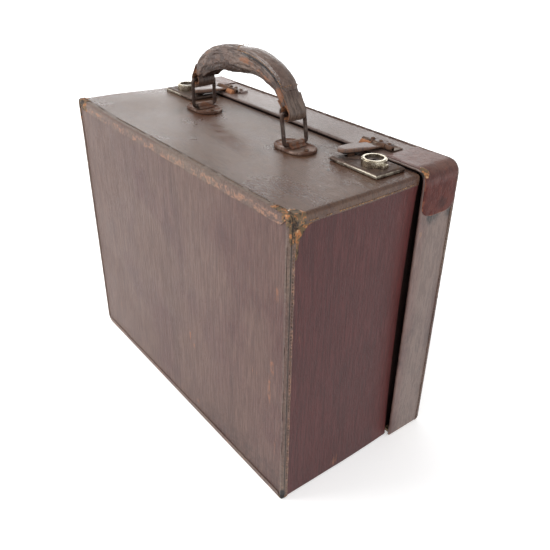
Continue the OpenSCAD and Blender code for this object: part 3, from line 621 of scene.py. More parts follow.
body_line = Outline(HALF, 0.0, TOP, (3.5 * MM, 3.5 * MM, 4 * MM, 9 * MM))
lid_line = Outline(LID_HALF, 0.0, LID_TOP, (3.5 * MM, 12 * MM, 12 * MM, 3.5 * MM))

BOW_START = -25 * MM
TOP_BOW = 1.6 * MM
MID_BOW = 4.6 * MM


def wall_bow(y, z):
    """How far the leather of a side wall has pulled in at depth y and height z."""
    t = clamp((y - BOW_START) / (MOUTH - BOW_START)) ** 1.7
    return t * (TOP_BOW + MID_BOW * math.sin(math.pi * clamp(z / TOP)) ** 0.6)


def cad_inset(y):
    """How far the board of a side wall has leaned in at depth y."""
    return CAD_INSET * clamp((y + 10 * MM) / (MOUTH + 10 * MM))


def corner_lift(x, y, z):
    """How far the far top corner of the front stands up and out of square."""
    near_top = ramp(z, TOP - 40 * MM, TOP)
    return 2.4 * MM * near_top * ramp(-x, 95 * MM, HALF) * ramp(-y, -20 * MM, 70 * MM)


def body_point(s, y, out=0.0):
    """A point on the body's skin, out from it by out."""
    x, z, nx, nz = body_line.at(s)
    x *= 1 - wall_bow(y, z) / HALF
    lift = corner_lift(x, y, z)
    return Vector((x + nx * out - 0.4 * lift, y, z + nz * out + lift))


# ---------- body leather ----------

# each scuff of the front: x, z, half width and half height in mm, and how worn it is
SCUFFS = (
    (33, 108, 3, 8, 0.62), (40, 97, 2.5, 6, 0.6), (29, 116, 4, 4, 0.45), (43, 18, 6, 4, 0.55),
    (183, 158, 3, 14, 0.6), (180, 128, 4, 22, 0.62), (146, 137, 1.5, 22, 0.5), (156, 137, 6, 8, 0.42),
    (150, 250, 1.5, 12, 0.52), (188, 239, 2, 11, 0.6), (97, 146, 1.5, 4, 0.5), (-4, 218, 1.5, 4, 0.42),
    (-150, 60, 5, 24, 0.36), (120, 60, 2, 20, 0.44), (92, 205, 1.5, 12, 0.4), (190, 60, 3, 34, 0.46),
    (170, 84, 2, 16, 0.44), (60, 232, 1.5, 9, 0.4), (-110, 190, 2, 8, 0.38), (10, 60, 3, 10, 0.4),
)


def front_wear(co):
    """Rubbed places of the front panel: scuffs, and the border where it meets the edge strip."""
    worn = max(
        amount * blot(co, (x, SKIN_Y / MM, z), (wide, 99, high)) for x, z, wide, high, amount in SCUFFS
    )
    edge = min(HALF - abs(co.x), co.z)
    return max(worn, 0.26 * ramp(20 * MM - edge, 0, 14 * MM))


def front_faded(co):
    """Greyer to the left and along the foot, partly the leather's fading and partly painted reflection, with
    a painted sheen over the upper middle.
    """
    left = ramp(-co.x, 20 * MM, 205 * MM)
    sheen = 0.3 * blot(co, (60, SKIN_Y / MM, 200), (90, 99, 70), 0.7)
    return 0.8 * left + 0.3 * left * ramp(60 * MM - co.z, 0, 60 * MM) + sheen + 0.24 * rough(co, 60 * MM, 2)


def front_painted_shade(co):
    """Painted shade: darker towards the near foot, where less light falls from above."""
    return 0.45 * ramp(120 * MM - co.z, 0, 110 * MM) * ramp(co.x, -80 * MM, 80 * MM)


def make_front():
    xs = spread(-HALF + 2.6 * MM, HALF - 2.6 * MM, 4 * MM)
    zs = spread(4 * MM, TOP - 4 * MM, 4 * MM)

    def place(z, x):
        sag = 0.5 * MM * math.cos(math.pi * x / (2 * HALF)) * math.sin(math.pi * z / TOP)
        depth = SKIN_Y + sag + 0.16 * MM * rough((x, 0, z), 60 * MM, 3)
        return Vector((x, depth, z)), Vector((x, SKIN_Y + LEATHER, z))

    # The masks paint the panel's gradient: greyer left and redder right, partly the leather's tone and partly
    # painted reflection, with painted shade towards the foot.
    solid("front_skin", [shell(*grids(zs, xs, place))], front_leather, "case", "leather_front",
          ["front_leather"], wear=front_wear, faded=front_faded, dark=front_painted_shade,
          red=lambda co: 0.16 * ramp(co.x, -60 * MM, 190 * MM))


# each scuff of a side wall: y, z, half width and half height in mm, and how worn it is
WALL_SCUFFS = (
    (-32, 10, 7, 5, 0.6), (-28, 16, 4, 5, 0.5), (-79, 64, 2.5, 6, 0.5), (-26, 302, 2, 3, 0.5),
    (15, 36, 2, 7, 0.45), (-60, 120, 1.5, 12, 0.4), (-5, 180, 1.5, 16, 0.38), (-85, 200, 2, 16, 0.4),
)


def wall_wear(co):
    """Scuffs, and a little wear along the foot."""
    scuffs = max(
        amount * blot(co, (co.x / MM, y, z), (1, wide, high)) for y, z, wide, high, amount in WALL_SCUFFS
    )
    return max(scuffs, 0.3 * ramp(8 * MM - co.z, 0, 8 * MM))


def wall_torn(co):
    """The band of torn leather that curves from the edge strip to the top's fold at the near corner."""
    if co.x < 0:
        return 0.0
    down = TOP - 7 * MM - co.z
    along = co.y - SKIN_Y - 8 * MM
    curve = math.hypot(max(0.0, 24 * MM - along), max(0.0, 24 * MM - down)) - 24 * MM
    return ramp(curve, -3.5 * MM, 0.5 * MM) * ramp(46 * MM - max(along, down), 0, 22 * MM)


def wall_red(co):
    """Redder towards the mouth, where the wall runs in under the lid's edge, and a little all over."""
    return 0.62 * ramp(co.y, 18 * MM, 46 * MM) + 0.12


def make_side(side):
    if side > 0:
        start, end = body_line.corner(0), body_line.corner(1, 0.0)
    else:
        start, end = body_line.corner(2, 1.0), body_line.corner(3)
    ys = spread(SKIN_START, MOUTH, 3.5 * MM)

    def place(y, s):
        p = body_point(s, y)
        p.x += side * min(0, 0.14 * MM * rough(p, 50 * MM, 5))
        depth = min(abs(p.x) - 0.5 * MM, HALF - LEATHER - cad_inset(y))
        return p, Vector((side * depth, y, clamp(p.z, LEATHER, TOP - LEATHER)))

    name = side_name(side)
    # The dark mask paints shade on the last 5 mm of the wall, in the gap under the lid's edge.
    solid(f"{name}_skin", [shell(*grids(ys, body_line.run(start, end, 5 * MM), place))], side_leather, "case",
          "leather_side", [f"{name}_leather"], wear=wall_wear, torn=wall_torn, red=wall_red,
          dark=lambda co: 0.5 * ramp(co.y, MOUTH - 5 * MM, MOUTH))


TOP_FOLD = 6.5 * MM
# each pale fleck on the top: x, y and radius in mm
FLECKS = (
    (193.6, -95, 0.6), (190, -91, 0.5), (170, -96, 0.5), (168, -40, 0.4), (58, -17, 0.5), (62, -20, 0.4),
)


def top_wear(co):
    front = co.y - FRONT
    side = HALF - abs(co.x)
    folded = 0.3 * ramp(TOP - 2.5 * MM - co.z, 0, 2 * MM)
    corner = ramp(16 * MM - math.hypot(front, side), 0, 12 * MM)
    return max(0.7 * corner, folded, 0.2 * ramp(3 * MM - side, 0, 3 * MM))


def top_dark(co):
    """A small hole by the lock, darker round the handle plates, and the painted reflection of the handle."""
    hole = blot(co, (144.7, -9.6, TOP / MM), (2.2, 1.4, 9), 0.3)
    left = 0.46 * blot(co, (-96, -12, TOP / MM), (22, 34, 99), 0.6)
    right = 0.42 * blot(co, (70, -14, TOP / MM), (22, 34, 99), 0.6)
    return max(hole, left, right, 0.24 * handle_reflection_streak(co))


def handle_reflection_streak(co):
    """Painted reflection of the handle: a dull, darker streak under it, from its left plate towards the right
    of the front edge.
    """
    along = co.y - (-24 * MM - 0.23 * (co.x + 15 * MM))
    across = 15 * MM + 5 * MM * rough(co, 30 * MM, 12)
    ends = ramp(co.x, -105 * MM, -70 * MM) * ramp(95 * MM - co.x, 0, 60 * MM)
    return ramp(across - abs(along), -8 * MM, 12 * MM) * ends * (0.85 + 0.3 * rough(co, 14 * MM, 13))


def top_torn(co):
    """The fold has worn through over the near corner, and a little over the far one."""
    near = math.hypot(HALF - co.x, co.y - FRONT, (TOP - co.z) * 0.5)
    far = math.hypot(HALF + co.x, co.y - FRONT, (TOP - co.z) * 0.5)
    return max(ramp(24 * MM - near, 0, 12 * MM), 0.9 * ramp(19 * MM - far, 0, 12 * MM))


def make_flecks():
    """Pale specks stuck to the top's leather and to the edge strip."""
    parts = []
    for x, y, size in FLECKS:
        under_strip = y * MM < SKIN_Y + BIND_SIDE
        centre = Vector((x * MM, y * MM, TOP + (BIND_T if under_strip else -0.4 * MM)))
        rings = []
        for i in range(5):
            a = math.pi * (0.05 + 0.225 * i)
            flat, rise = math.sin(a), math.cos(a) * 0.6
            ring = [(flat * math.cos(k) * 1.3, flat * math.sin(k), rise) for k in range(6)]
            rings.append([centre + Vector(p) * size * MM * (1.1 + 0.3 * rough(p, 0.5, 8)) for p in ring])
        parts.append(tube(rings))
    solid("flecks", parts, fleck, "case", "leather_top")


def make_top():
    """The top's leather, folded a little way down both side walls, with openings for the lock trays."""
    start = body_line.corner(1, 0.0) - TOP_FOLD
    end = body_line.corner(2, 1.0) + TOP_FOLD
    middle = (body_line.corner(1, 1.0) + body_line.corner(2, 0.0)) / 2
    run = body_line.run(start, end, 4 * MM)
    ys = spread(SKIN_START, MOUTH, 4 * MM)
    for lo, hi in lock_holes:
        ys += [lo.y, hi.y]
        run += [middle - lo.x, middle - hi.x]
    run, ys = sorted(run), sorted(set(ys))

    def height(x, y):
        deep = math.sin(math.pi * clamp((y - FRONT) / (MOUTH - FRONT)))
        dip = 0.5 * MM * deep * math.cos(math.pi * x / 2 / HALF)
        dent = 0.5 * MM * bump(math.hypot(x - 37 * MM, y - 21 * MM), 4 * MM, 3 * MM)
        return 0.35 * MM * (rough((x, y, 0), 90 * MM, 9, 1) - 1) - dip * 0.6 - dent

    def flatness(s):
        return ramp(min(s - start, end - s), 0, TOP_FOLD + 3 * MM)

    def place(y, s):
        flat = flatness(s)
        ragged = 0.4 * MM * rough((s, y, 0), 9 * MM, 4) if s in (run[0], run[-1]) else 0
        p = body_point(s, y, 0.45 * MM * (1 - flat))
        p.z += height(p.x, y) * flat + ragged
        return p, body_point(s, y, lerp(-0.1 * MM, -LEATHER, flat))

    outer, inner = grids(ys, run, place)

    def keep(i, j):
        a, b = outer[i][j], outer[i + 1][j + 1]
        x, y = (a.x + b.x) / 2, (a.y + b.y) / 2
        on_top = flatness(run[j]) > 0.99
        return not (on_top and any(lo.x < x < hi.x and lo.y < y < hi.y for lo, hi in lock_holes))

    # The streak under the handle is its painted reflection: duller, darker and redder than the rest of the
    # top.
    solid("top_skin", [shell(outer, inner, keep=keep)], top_leather, "case", "leather_top", ["top_leather"],
          wear=top_wear, dark=top_dark, torn=top_torn, matt=lambda co: 0.95 * handle_reflection_streak(co),
          red=lambda co: 0.16 * handle_reflection_streak(co))


def make_base():
    start = -(body_line.total - body_line.corner(3))
    run = body_line.run(start + body_line.total, body_line.total, 6 * MM)
    run += body_line.run(0, body_line.corner(0), 6 * MM)[1:]

    def place(y, s):
        p = body_point(s, y)
        return p, p + Vector((0, 0, LEATHER if abs(p.x) < HALF - 9 * MM else 0.6 * MM))

    def wear(co):
        return 0.5 * ramp(12 * MM - min(HALF - abs(co.x), co.y - FRONT), 0, 12 * MM)

    solid("base_skin", [shell(*grids(spread(SKIN_START, BASE_END, 5 * MM), run, place))], base_leather,
          "case", "leather_base", ["bottom_leather"], wear=wear)


# ---------- front edge binding ----------

BIND_SIDE = 6.4 * MM
BIND_FACE = 10.5 * MM
BIND_UPRIGHT = 3.4 * MM
BIND_FOOT = 6.5 * MM
BIND_EDGE = 2.4 * MM
BIND_T = SKIN_Y - FRONT


def face_width(s):
    """How far the strip reaches over the face: wide along the top, a narrow roll on the uprights."""
    nz = body_line.at(s)[3]
    return lerp(BIND_UPRIGHT, BIND_FACE if nz > 0 else BIND_FOOT, ramp(abs(nz), 0.3, 0.9))


def binding_section():
    """(depth in Y, distance out from the skin, distance in over the face) across the strip, from its edge on
    the side to its edge on the face."""
    side = [(y, BIND_T, 0.0) for y in spread(SKIN_Y + BIND_SIDE, FRONT + BIND_EDGE, 0.7 * MM)]
    bend = [(FRONT + BIND_EDGE - y, BIND_T - BIND_EDGE + x, 0.0) for x, y in arc(BIND_EDGE, 0, 90, 5)[1:]]
    face = [(FRONT, 0.0, t) for t in spread(BIND_EDGE - BIND_T, BIND_FACE, 1.5 * MM)[1:]]
    return side + bend + face


def face_point(s, y, inwards):
    """A point on the front face, inwards from the outline by a mitred distance."""
    x, z, nx, nz = body_line.at(s)
    edge = HALF - inwards
    x = clamp(x - nx * min(inwards, 2 * MM), -edge, edge)
    z = clamp(z - nz * min(inwards, 2 * MM), inwards, TOP - inwards)
    return Vector((x, y, z))


def binding_wear(co):
    """Rubbed along the fold, more on the top strip of the face than on the uprights."""
    edge = min(HALF + BIND_T - abs(co.x), co.z, TOP + BIND_T - co.z)
    fold = ramp(3.4 * MM - math.hypot(co.y - FRONT, max(0, edge)), 0, 3.2 * MM)
    face = co.y < SKIN_Y
    strip = ramp(TOP - co.z, 0.5 * MM, 3.5 * MM) * ramp(co.z, TOP - 16 * MM, TOP - 11 * MM)
    along_top = (0.44 + 0.2 * rough(co, 8 * MM, 18)) * strip if face else 0.0
    below = 0.4 * ramp(16 * MM - co.z, 0, 14 * MM)
    side = 0.48 * ramp(co.y, FRONT + 3.4 * MM, FRONT + 5 * MM) if co.z < TOP - 2 * MM else 0.0
    return max(0.38 * fold, along_top, below, side, 0.12) + 0.08 * rough(co, 12 * MM, 17)


def binding_torn(co):
    """Both top corners have worn through to the layers beneath, and the near foot a little."""
    near = math.hypot(HALF - co.x, TOP - co.z, co.y - FRONT)
    far = math.hypot(HALF + co.x, TOP - co.z, co.y - FRONT)
    foot = math.hypot(HALF - co.x, co.z, co.y - FRONT)
    reach = 19 * MM if co.y < FRONT + 1 * MM else 34 * MM
    return max(
        0.95 * ramp(reach - near, 0, 18 * MM), ramp(30 * MM - far, 0, 14 * MM),
        0.7 * ramp(12 * MM - foot, 0, 8 * MM),
    )


def binding_faded(co):
    """The strips that turn over the top and the near side have gone olive grey. A painted highlight runs
    along the fold, and the strip is greyer to the left, partly fading and partly painted reflection.
    """
    turned = ramp(co.y, FRONT + 1.5 * MM, SKIN_Y + 1.5 * MM) if co.z > TOP - 2 * MM else 0.0
    # A painted highlight along the rolled fold.
    fold = bump(co.y, FRONT + 1.8 * MM, 1.2 * MM)
    return max(0.75 * turned, 0.45 * fold) + 0.4 * ramp(-co.x, 60 * MM, 200 * MM)


def binding_dark(co):
    """Holes worn at the near corner, a black foot, and painted shade: in the seam beside the near upright,
    along the strip's back edge on the near side and on the top, and under its lower edge on the face.
    """
    hole = blot(co, (HALF / MM, FRONT / MM + 9.5, TOP / MM - 8.5), (3, 3.6, 1.7), 0.3)
    nick = blot(co, (HALF / MM - 5, FRONT / MM, TOP / MM - 2.5), (1.4, 2, 1.6), 0.4)
    foot = blot(co, (HALF / MM, FRONT / MM + 1, 8), (3, 3, 7))
    seam = 0.0
    if co.x > HALF - 2 * MM:
        seam = bump(co.y, FRONT + 3.1 * MM, 1 * MM) + 0.4 * bump(co.y, SKIN_Y + BIND_SIDE, 1 * MM)
    crease = 0.8 * bump(co.y, SKIN_Y + BIND_SIDE - 0.3 * MM, 0.9 * MM) if co.z > TOP - 1 * MM else 0.0
    under = 0.6 * bump(co.z, TOP - BIND_FACE + 0.4 * MM, 1.3 * MM) if co.y < SKIN_Y else 0.0
    return max(hole, nick, foot, seam, crease, under)


def make_binding():
    def place(part, s):
        y, out, inwards = part
        ragged = 0.5 * MM * rough((s, 0, 0), 7 * MM, 11) if inwards > BIND_FACE - 1 * MM else 0.0
        y_here = y
        if y > SKIN_Y + BIND_SIDE - 1 * MM:
            y_here += 0.5 * MM * rough((s, 0, 0), 8 * MM, 12)
        if inwards > 0:
            reach = inwards * face_width(s) / BIND_FACE + ragged
            p = face_point(s, y_here, reach)
            q = face_point(s, y_here + BIND_T, reach)
        else:
            x, z, nx, nz = body_line.at(s)
            seam = 0.6 * MM * bump(y, FRONT + 3.1 * MM, 1.1 * MM) * ramp(nx, 0.6, 0.9)
            p = Vector((x + nx * (out - seam), y_here, z + nz * (out - seam)))
            q = Vector((x + nx * (out - BIND_T), max(y_here, SKIN_Y), z + nz * (out - BIND_T)))
        for point in (p, q):
            lift = corner_lift(point.x, point.y, point.z)
            point.z += lift
            point.x -= 0.4 * lift
        lump = 0.14 * MM * rough(p, 14 * MM, 6)
        rags = binding_torn(p) * max(0.0, 0.5 * MM * rough(p, 5 * MM, 19))
        hollow = 1.2 * MM * binding_dark(p) if p.z > TOP - 20 * MM and p.x > HALF - 2 * MM else 0.0
        p.x += math.copysign(rags - hollow, p.x) if inwards <= 0 and abs(p.x) > HALF - 1 * MM else 0.0
        p.y = max(FRONT, p.y + max(0, lump))
        p.z = max(0.0, p.z)
        q.z = max(0.3 * MM, q.z)
        return p, q

    strip = grids(binding_section(), body_line.run(0, body_line.total, 2.2 * MM)[:-1], place)
    solid("edge_binding", [shell(*strip, wrap=True)], binding_leather, "case", "leather_binding",
          ["front_edge_binding"], wear=binding_wear, dark=binding_dark, torn=binding_torn,
          faded=binding_faded)


# ---------- stitches ----------

def stitch(centre, ahead, out, length, radius):
    """One thread stitch, sunk at both ends."""
    across = ahead.cross(out).normalized()
    rings = []
    for i in range(5):
        t = i / 4
        swell = math.sin(math.pi * (0.12 + 0.76 * t))
        middle = centre + ahead * length * (t - 0.5) + out * radius * (swell - 0.55)
        size = radius * (0.5 + 0.5 * swell)
        ring = []
        for k in range(6):
            a = k * math.pi / 3
            ring.append(middle + across * size * math.cos(a) + out * size * math.sin(a))
        rings.append(ring)
    return tube(rings)


def stitch_row(points, pitch, length, radius, kept_below, slant, seed):
    """Stitches along a line of (point, outward direction) pairs, sizes in mm. Those whose noise is not below
    kept_below are worn away."""
    parts = []
    travelled, due = 0.0, pitch * MM / 2
    for (a, na), (b, nb) in zip(points, points[1:]):
        gap = (b - a).length
        while gap > 1e-9 and due <= travelled + gap:
            t = (due - travelled) / gap
            centre = a.lerp(b, t)
            out = na.lerp(nb, t).normalized()
            ahead = (b - a).normalized()
            if slant:
                ahead = (ahead + out.cross(ahead) * slant).normalized()
            if rough(centre, 11 * MM, seed) < kept_below:
                parts.append(stitch(centre, ahead, out, length * MM, radius * MM))
            due += pitch * MM
        travelled += gap
    return parts


def skin_line(start, end, y):
    """A line round the edge strip's surface at one depth, as (point, outward direction) pairs."""
    found = []
    steps = 120
    for i in range(steps + 1):
        s = lerp(start, end, i / steps)
        _, _, nx, nz = body_line.at(s)
        found.append((body_point(s, y, BIND_T), Vector((nx, 0, nz))))
    return found


def make_body_stitches():
    y = SKIN_Y + BIND_SIDE - 1.8 * MM
    parts = []
    for first, radius, kept_below, seed in ((0, 0.42, 0.3, 3), (2, 0.42, 0.3, 3), (1, 0.36, 0.1, 4)):
        row = skin_line(body_line.corner(first, 1.0), body_line.corner(first + 1, 0.0), y)
        parts += stitch_row(row, 3.4, 2.3, radius, kept_below, 0.2, seed)
    solid("edge_stitches", parts, dark_thread, "case", "leather_binding")
    parts = []
    in_from_edge = 1.8 * MM
    ys = spread(SKIN_Y + 12 * MM, MOUTH - 2 * MM, 3 * MM)
    right, left = body_line.corner(1, 0.0) - TOP_FOLD, body_line.corner(2, 1.0) + TOP_FOLD
    for s in (right + in_from_edge, left - in_from_edge):
        _, _, nx, nz = body_line.at(s)
        row = [(body_point(s, y, 0.42 * MM), Vector((nx, 0, nz))) for y in ys]
        parts += stitch_row(row, 3.6, 2.5, 0.4, 0.42, 0.15, 5)
    solid("top_stitches", parts, tan_thread, "case", "leather_top")


# ---------- lid ----------

FOOT_ROUND = 9 * MM
LIFT_END = 45 * MM
BACK_ROUND = 4.5 * MM
LID_ROLL = 1.75 * MM
LID_EDGE = 3.3 * MM
BAND_T = 1.3 * MM
BAND_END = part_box("lid_edge_binding")[0].y


def foot_lift(y):
    """How far the lid's lower back edge is rounded up at depth y."""
    into = clamp((y - (LID_BACK - FOOT_ROUND)) / FOOT_ROUND)
    return FOOT_ROUND * (1 - math.sqrt(max(0.0, 1 - into * into))) * 0.85


def back_round(y):
    """How far the lid's skin has come in where its sides turn on to the back panel."""
    into = clamp((y - (LID_BACK - BACK_ROUND)) / BACK_ROUND)
    return BACK_ROUND * (1 - math.sqrt(max(0.0, 1 - into * into)))


def lifted(y, z):
    """How far a point of the lid at depth y and height z is raised by the rounded lower back edge."""
    return foot_lift(y) * clamp(1 - z / LIFT_END)


def lid_point(s, y, out=0.0):
    """A point on the lid's skin, out from it by out."""
    x, z, nx, nz = lid_line.at(s)
    out = out - (back_round(y) if z > 2 * MM else 0.0)
    p = Vector((x + nx * out, y, z + nz * out))
    p.z = max(0.0, p.z) + lifted(y, p.z)
    return p


def band_section():
    """(depth in Y, distance out) across the lid's band: outside, round the rolled edge and back inside."""
    outside = [(y, 0.0) for y in spread(BAND_END, LID_FRONT + LID_ROLL, 3 * MM)]
    roll = [(LID_FRONT + LID_ROLL - b, a - LID_ROLL) for a, b in arc(LID_ROLL, 0, 180, 8)][1:-1]
    inside = [(y, -LID_EDGE) for y in spread(LID_FRONT + LID_ROLL, LID_FRONT + 8 * MM, 2 * MM)]
    return outside + roll + inside


def band_inner(y, out):
    """The matching point on the leather's other face."""
    if out > -0.1 * MM:
        return max(y, LID_FRONT + BAND_T), -BAND_T
    if out < 0.1 * MM - LID_EDGE:
        return max(y, LID_FRONT + BAND_T), BAND_T * 0.5 - LID_EDGE
    return LID_FRONT + BAND_T, -LID_EDGE / 2


def band_wear(co):
    edge = 0.36 * bump(co.y, LID_FRONT + 1.5 * MM, 1.4 * MM)
    back = 0.34 * ramp(co.y, BAND_END - 6 * MM, BAND_END)
    foot = 0.5 * ramp(14 * MM - co.z, 0, 12 * MM)
    scuff = 0.5 * blot(co, (LID_HALF / MM, LID_FRONT / MM + 5, LID_TOP / MM - 66), (9, 3, 7), 0.5)
    return max(edge, back, foot, scuff)


def band_dark(co):
    """Painted shade on the riser that faces the front and on the inside of the rolled edge; the sides are
    darker in a band below the corner patch, in a wider one lower down, and in blotches.
    """
    facing = 0.3 * ramp(LID_FRONT + 1.3 * MM - co.y, 0, 1.3 * MM)
    inner = 1.0 * ramp(min(LID_HALF - abs(co.x), LID_TOP - co.z), 2 * MM, 2.8 * MM) if co.z > 4 * MM else 0.0
    side = 0.0
    if abs(co.x) > LID_HALF - 2 * MM:
        side = 0.5 * bump(co.z, LID_TOP - 48 * MM, 26 * MM) + 0.3 * bump(co.z, LID_TOP - 200 * MM, 70 * MM)
        side += 0.3 * rough((0, co.y * 1.4, co.z * 0.4), 16 * MM, 16)
    return max(facing, inner, side)


def band_faded(co):
    if co.z > LID_TOP - 3 * MM:
        return 1.0
    # A painted highlight: a pale sheen streak down the middle of each side.
    sheen = bump(co.y, LID_FRONT + 24 * MM, 20 * MM) * ramp(LID_TOP - co.z, 40 * MM, 80 * MM)
    return 0.6 * sheen + 0.3 * rough((co.x, co.y * 2, co.z * 0.7), 40 * MM, 15)


def band_red(co):
    """Redder along the front edge of the sides."""
    return 0.26 * ramp(LID_FRONT + 16 * MM - co.y, 0, 12 * MM) if abs(co.x) > LID_HALF - 2 * MM else 0.0


def make_band():
    """The leather round the lid's sides, and the strip of it that lies under the lid's foot."""
    run = lid_line.run(lid_line.corner(0, 0.35), lid_line.corner(3, 0.65), 3 * MM)

    def place(part, s):
        y, out = part
        p = lid_point(s, y, out)
        _, _, nx, nz = lid_line.at(s)
        if out > -0.1 * MM:
            p += Vector((nx, 0, nz)) * (0.35 * MM * min(0.0, rough(p, 40 * MM, 14)))
        return p, lid_point(s, *band_inner(y, out))

    def foot(y, x):
        p = Vector((x, y, foot_lift(y)))
        return p, p + Vector((0, 0, BAND_T))

    hinge_lo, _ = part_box("lid_bottom_board")
    xs = spread(-LID_HALF + 3 * MM, LID_HALF - 3 * MM, 8 * MM)
    ys = spread(hinge_lo.y, BAND_END, 3 * MM)
    parts = [shell(*grids(band_section(), run, place)), shell(*grids(ys, xs, foot))]
    solid("lid_band", parts, lid_leather, "lid", "leather_lid", ["lid_band_leather"],
          wear=band_wear, dark=band_dark, faded=band_faded, red=band_red)


def lid_face(s, inwards):
    """X and Z of a point on the lid's back, inwards from the outline, mitred at its square lower corners."""
    x, z, nx, nz = lid_line.at(s)
    near = min(inwards, 3 * MM) if z < LID_TOP / 2 else inwards
    x, z = x - nx * near, z - nz * near
    edge = LID_HALF - inwards
    return clamp(x, -edge, edge), max(z, inwards)


def make_lid_edge():
    """The sewn strip folded round the lid's back edge."""
    side, back, thick = 5 * MM, 9.5 * MM, 0.6 * MM
    centre = LID_BACK - BACK_ROUND
    section = [(y, thick, 0.0) for y in spread(BAND_END - side, centre, 1.2 * MM)]
    section += [(centre + b, a - BACK_ROUND + thick, 0.0) for a, b in arc(BACK_ROUND, 0, 90, 6)][1:]
    section += [(LID_BACK, 0.0, d) for d in spread(BACK_ROUND, back, 1.4 * MM)[1:]]

    def place(part, s):
        y, out, inwards = part
        x, z, nx, nz = lid_line.at(s)
        ragged = 0.7 * MM * rough((s, 0, 0), 6 * MM, 21)
        y_here = y + (ragged if y < BAND_END - side + 1 * MM else 0.0)
        if inwards > 0:
            reach = min(inwards + (ragged if inwards > back - 1 * MM else 0.0), 11 * MM)
            px, pz = lid_face(s, reach)
            p = Vector((px, y_here, pz))
            q = Vector((px, y_here - thick, pz))
        else:
            nick = min(0, 0.35 * MM * rough((s, y, 0), 3.5 * MM, 23))
            p = Vector((x + nx * (out + nick), y_here, z + nz * (out + nick)))
            q = Vector((x + nx * (out - thick), min(y_here, LID_BACK - thick), z + nz * (out - thick)))
        for point, least in ((p, 0.0), (q, 0.2 * MM)):
            point.z = max(least, point.z) + lifted(point.y, point.z)
        return p, q

    def wear(co):
        fold = ramp(2.6 * MM - abs(co.y - (LID_BACK - 1 * MM)), 0, 2.6 * MM)
        return 0.12 + 0.3 * fold + 0.3 * ramp(14 * MM - co.z, 0, 12 * MM) + 0.16 * rough(co, 16 * MM, 24)

    def dark(co):
        return 0.42 * bump(co.y, LID_BACK - 3.4 * MM, 2.4 * MM)

    strip = grids(section, lid_line.run(0, lid_line.total, 2.4 * MM)[:-1], place)
    solid("lid_edge", [shell(*strip, wrap=True)], binding_leather, "lid", "leather_binding",
          ["lid_edge_binding"], wear=wear, dark=dark)
    on_band, on_back = [], []
    for s in spread(lid_line.corner(0, 1.0), lid_line.corner(3, 0.0), 3 * MM):
        _, _, nx, nz = lid_line.at(s)
        on_band.append((lid_point(s, BAND_END - 4 * MM, thick), Vector((nx, 0, nz))))
    for s in spread(0, lid_line.total, 3 * MM):
        x, z = lid_face(s, 7.6 * MM)
        p = Vector((x, LID_BACK, z))
        p.z += lifted(LID_BACK, p.z)
        on_back.append((p, Vector((0, 1, 0))))
    parts = stitch_row(on_band, 3.6, 3.2, 0.4, 0.35, 0.8, 7)
    parts += stitch_row(on_back, 4.2, 3, 0.4, 0.35, 0.0, 8)
    solid("lid_stitches", parts, dark_thread, "lid", "leather_binding")


def make_lid_panel():
    """The back panel's leather, pulled flat over its board inside the edge strip."""
    border = 6 * MM
    xs = spread(-LID_HALF + border, LID_HALF - border, 5 * MM)
    zs = spread(border, LID_TOP - border, 5 * MM)

    def place(z, x):
        up = z + lifted(LID_BACK, z)
        edge = min(LID_HALF - abs(x), z, LID_TOP - z)
        dip = -0.55 * MM + 0.35 * MM * ramp(edge, 8 * MM, 30 * MM)
        dip += 0.15 * MM * min(0, rough((x, 0, z), 55 * MM, 31))
        return Vector((x, LID_BACK + dip, up)), Vector((x, LID_BACK - BAND_T, up))

    def wear(co):
        edge = min(LID_HALF - abs(co.x), co.z, LID_TOP - co.z)
        scuffs = 0.5 * ramp(rough((co.x, 0, co.z * 0.4), 26 * MM, 33), 0.5, 0.9)
        return max(0.24 * ramp(24 * MM - edge, 0, 18 * MM), scuffs)

    solid("lid_panel_skin", [shell(*grids(zs, xs, place))], front_leather, "lid", "leather_front",
          ["lid_panel_leather"], wear=wear)


PATCH_ALONG = corner_hi.x - corner_lo.x
PATCH_DOWN = 46 * MM
PATCH_T = 1 * MM
PATCH_ROUND = 12 * MM


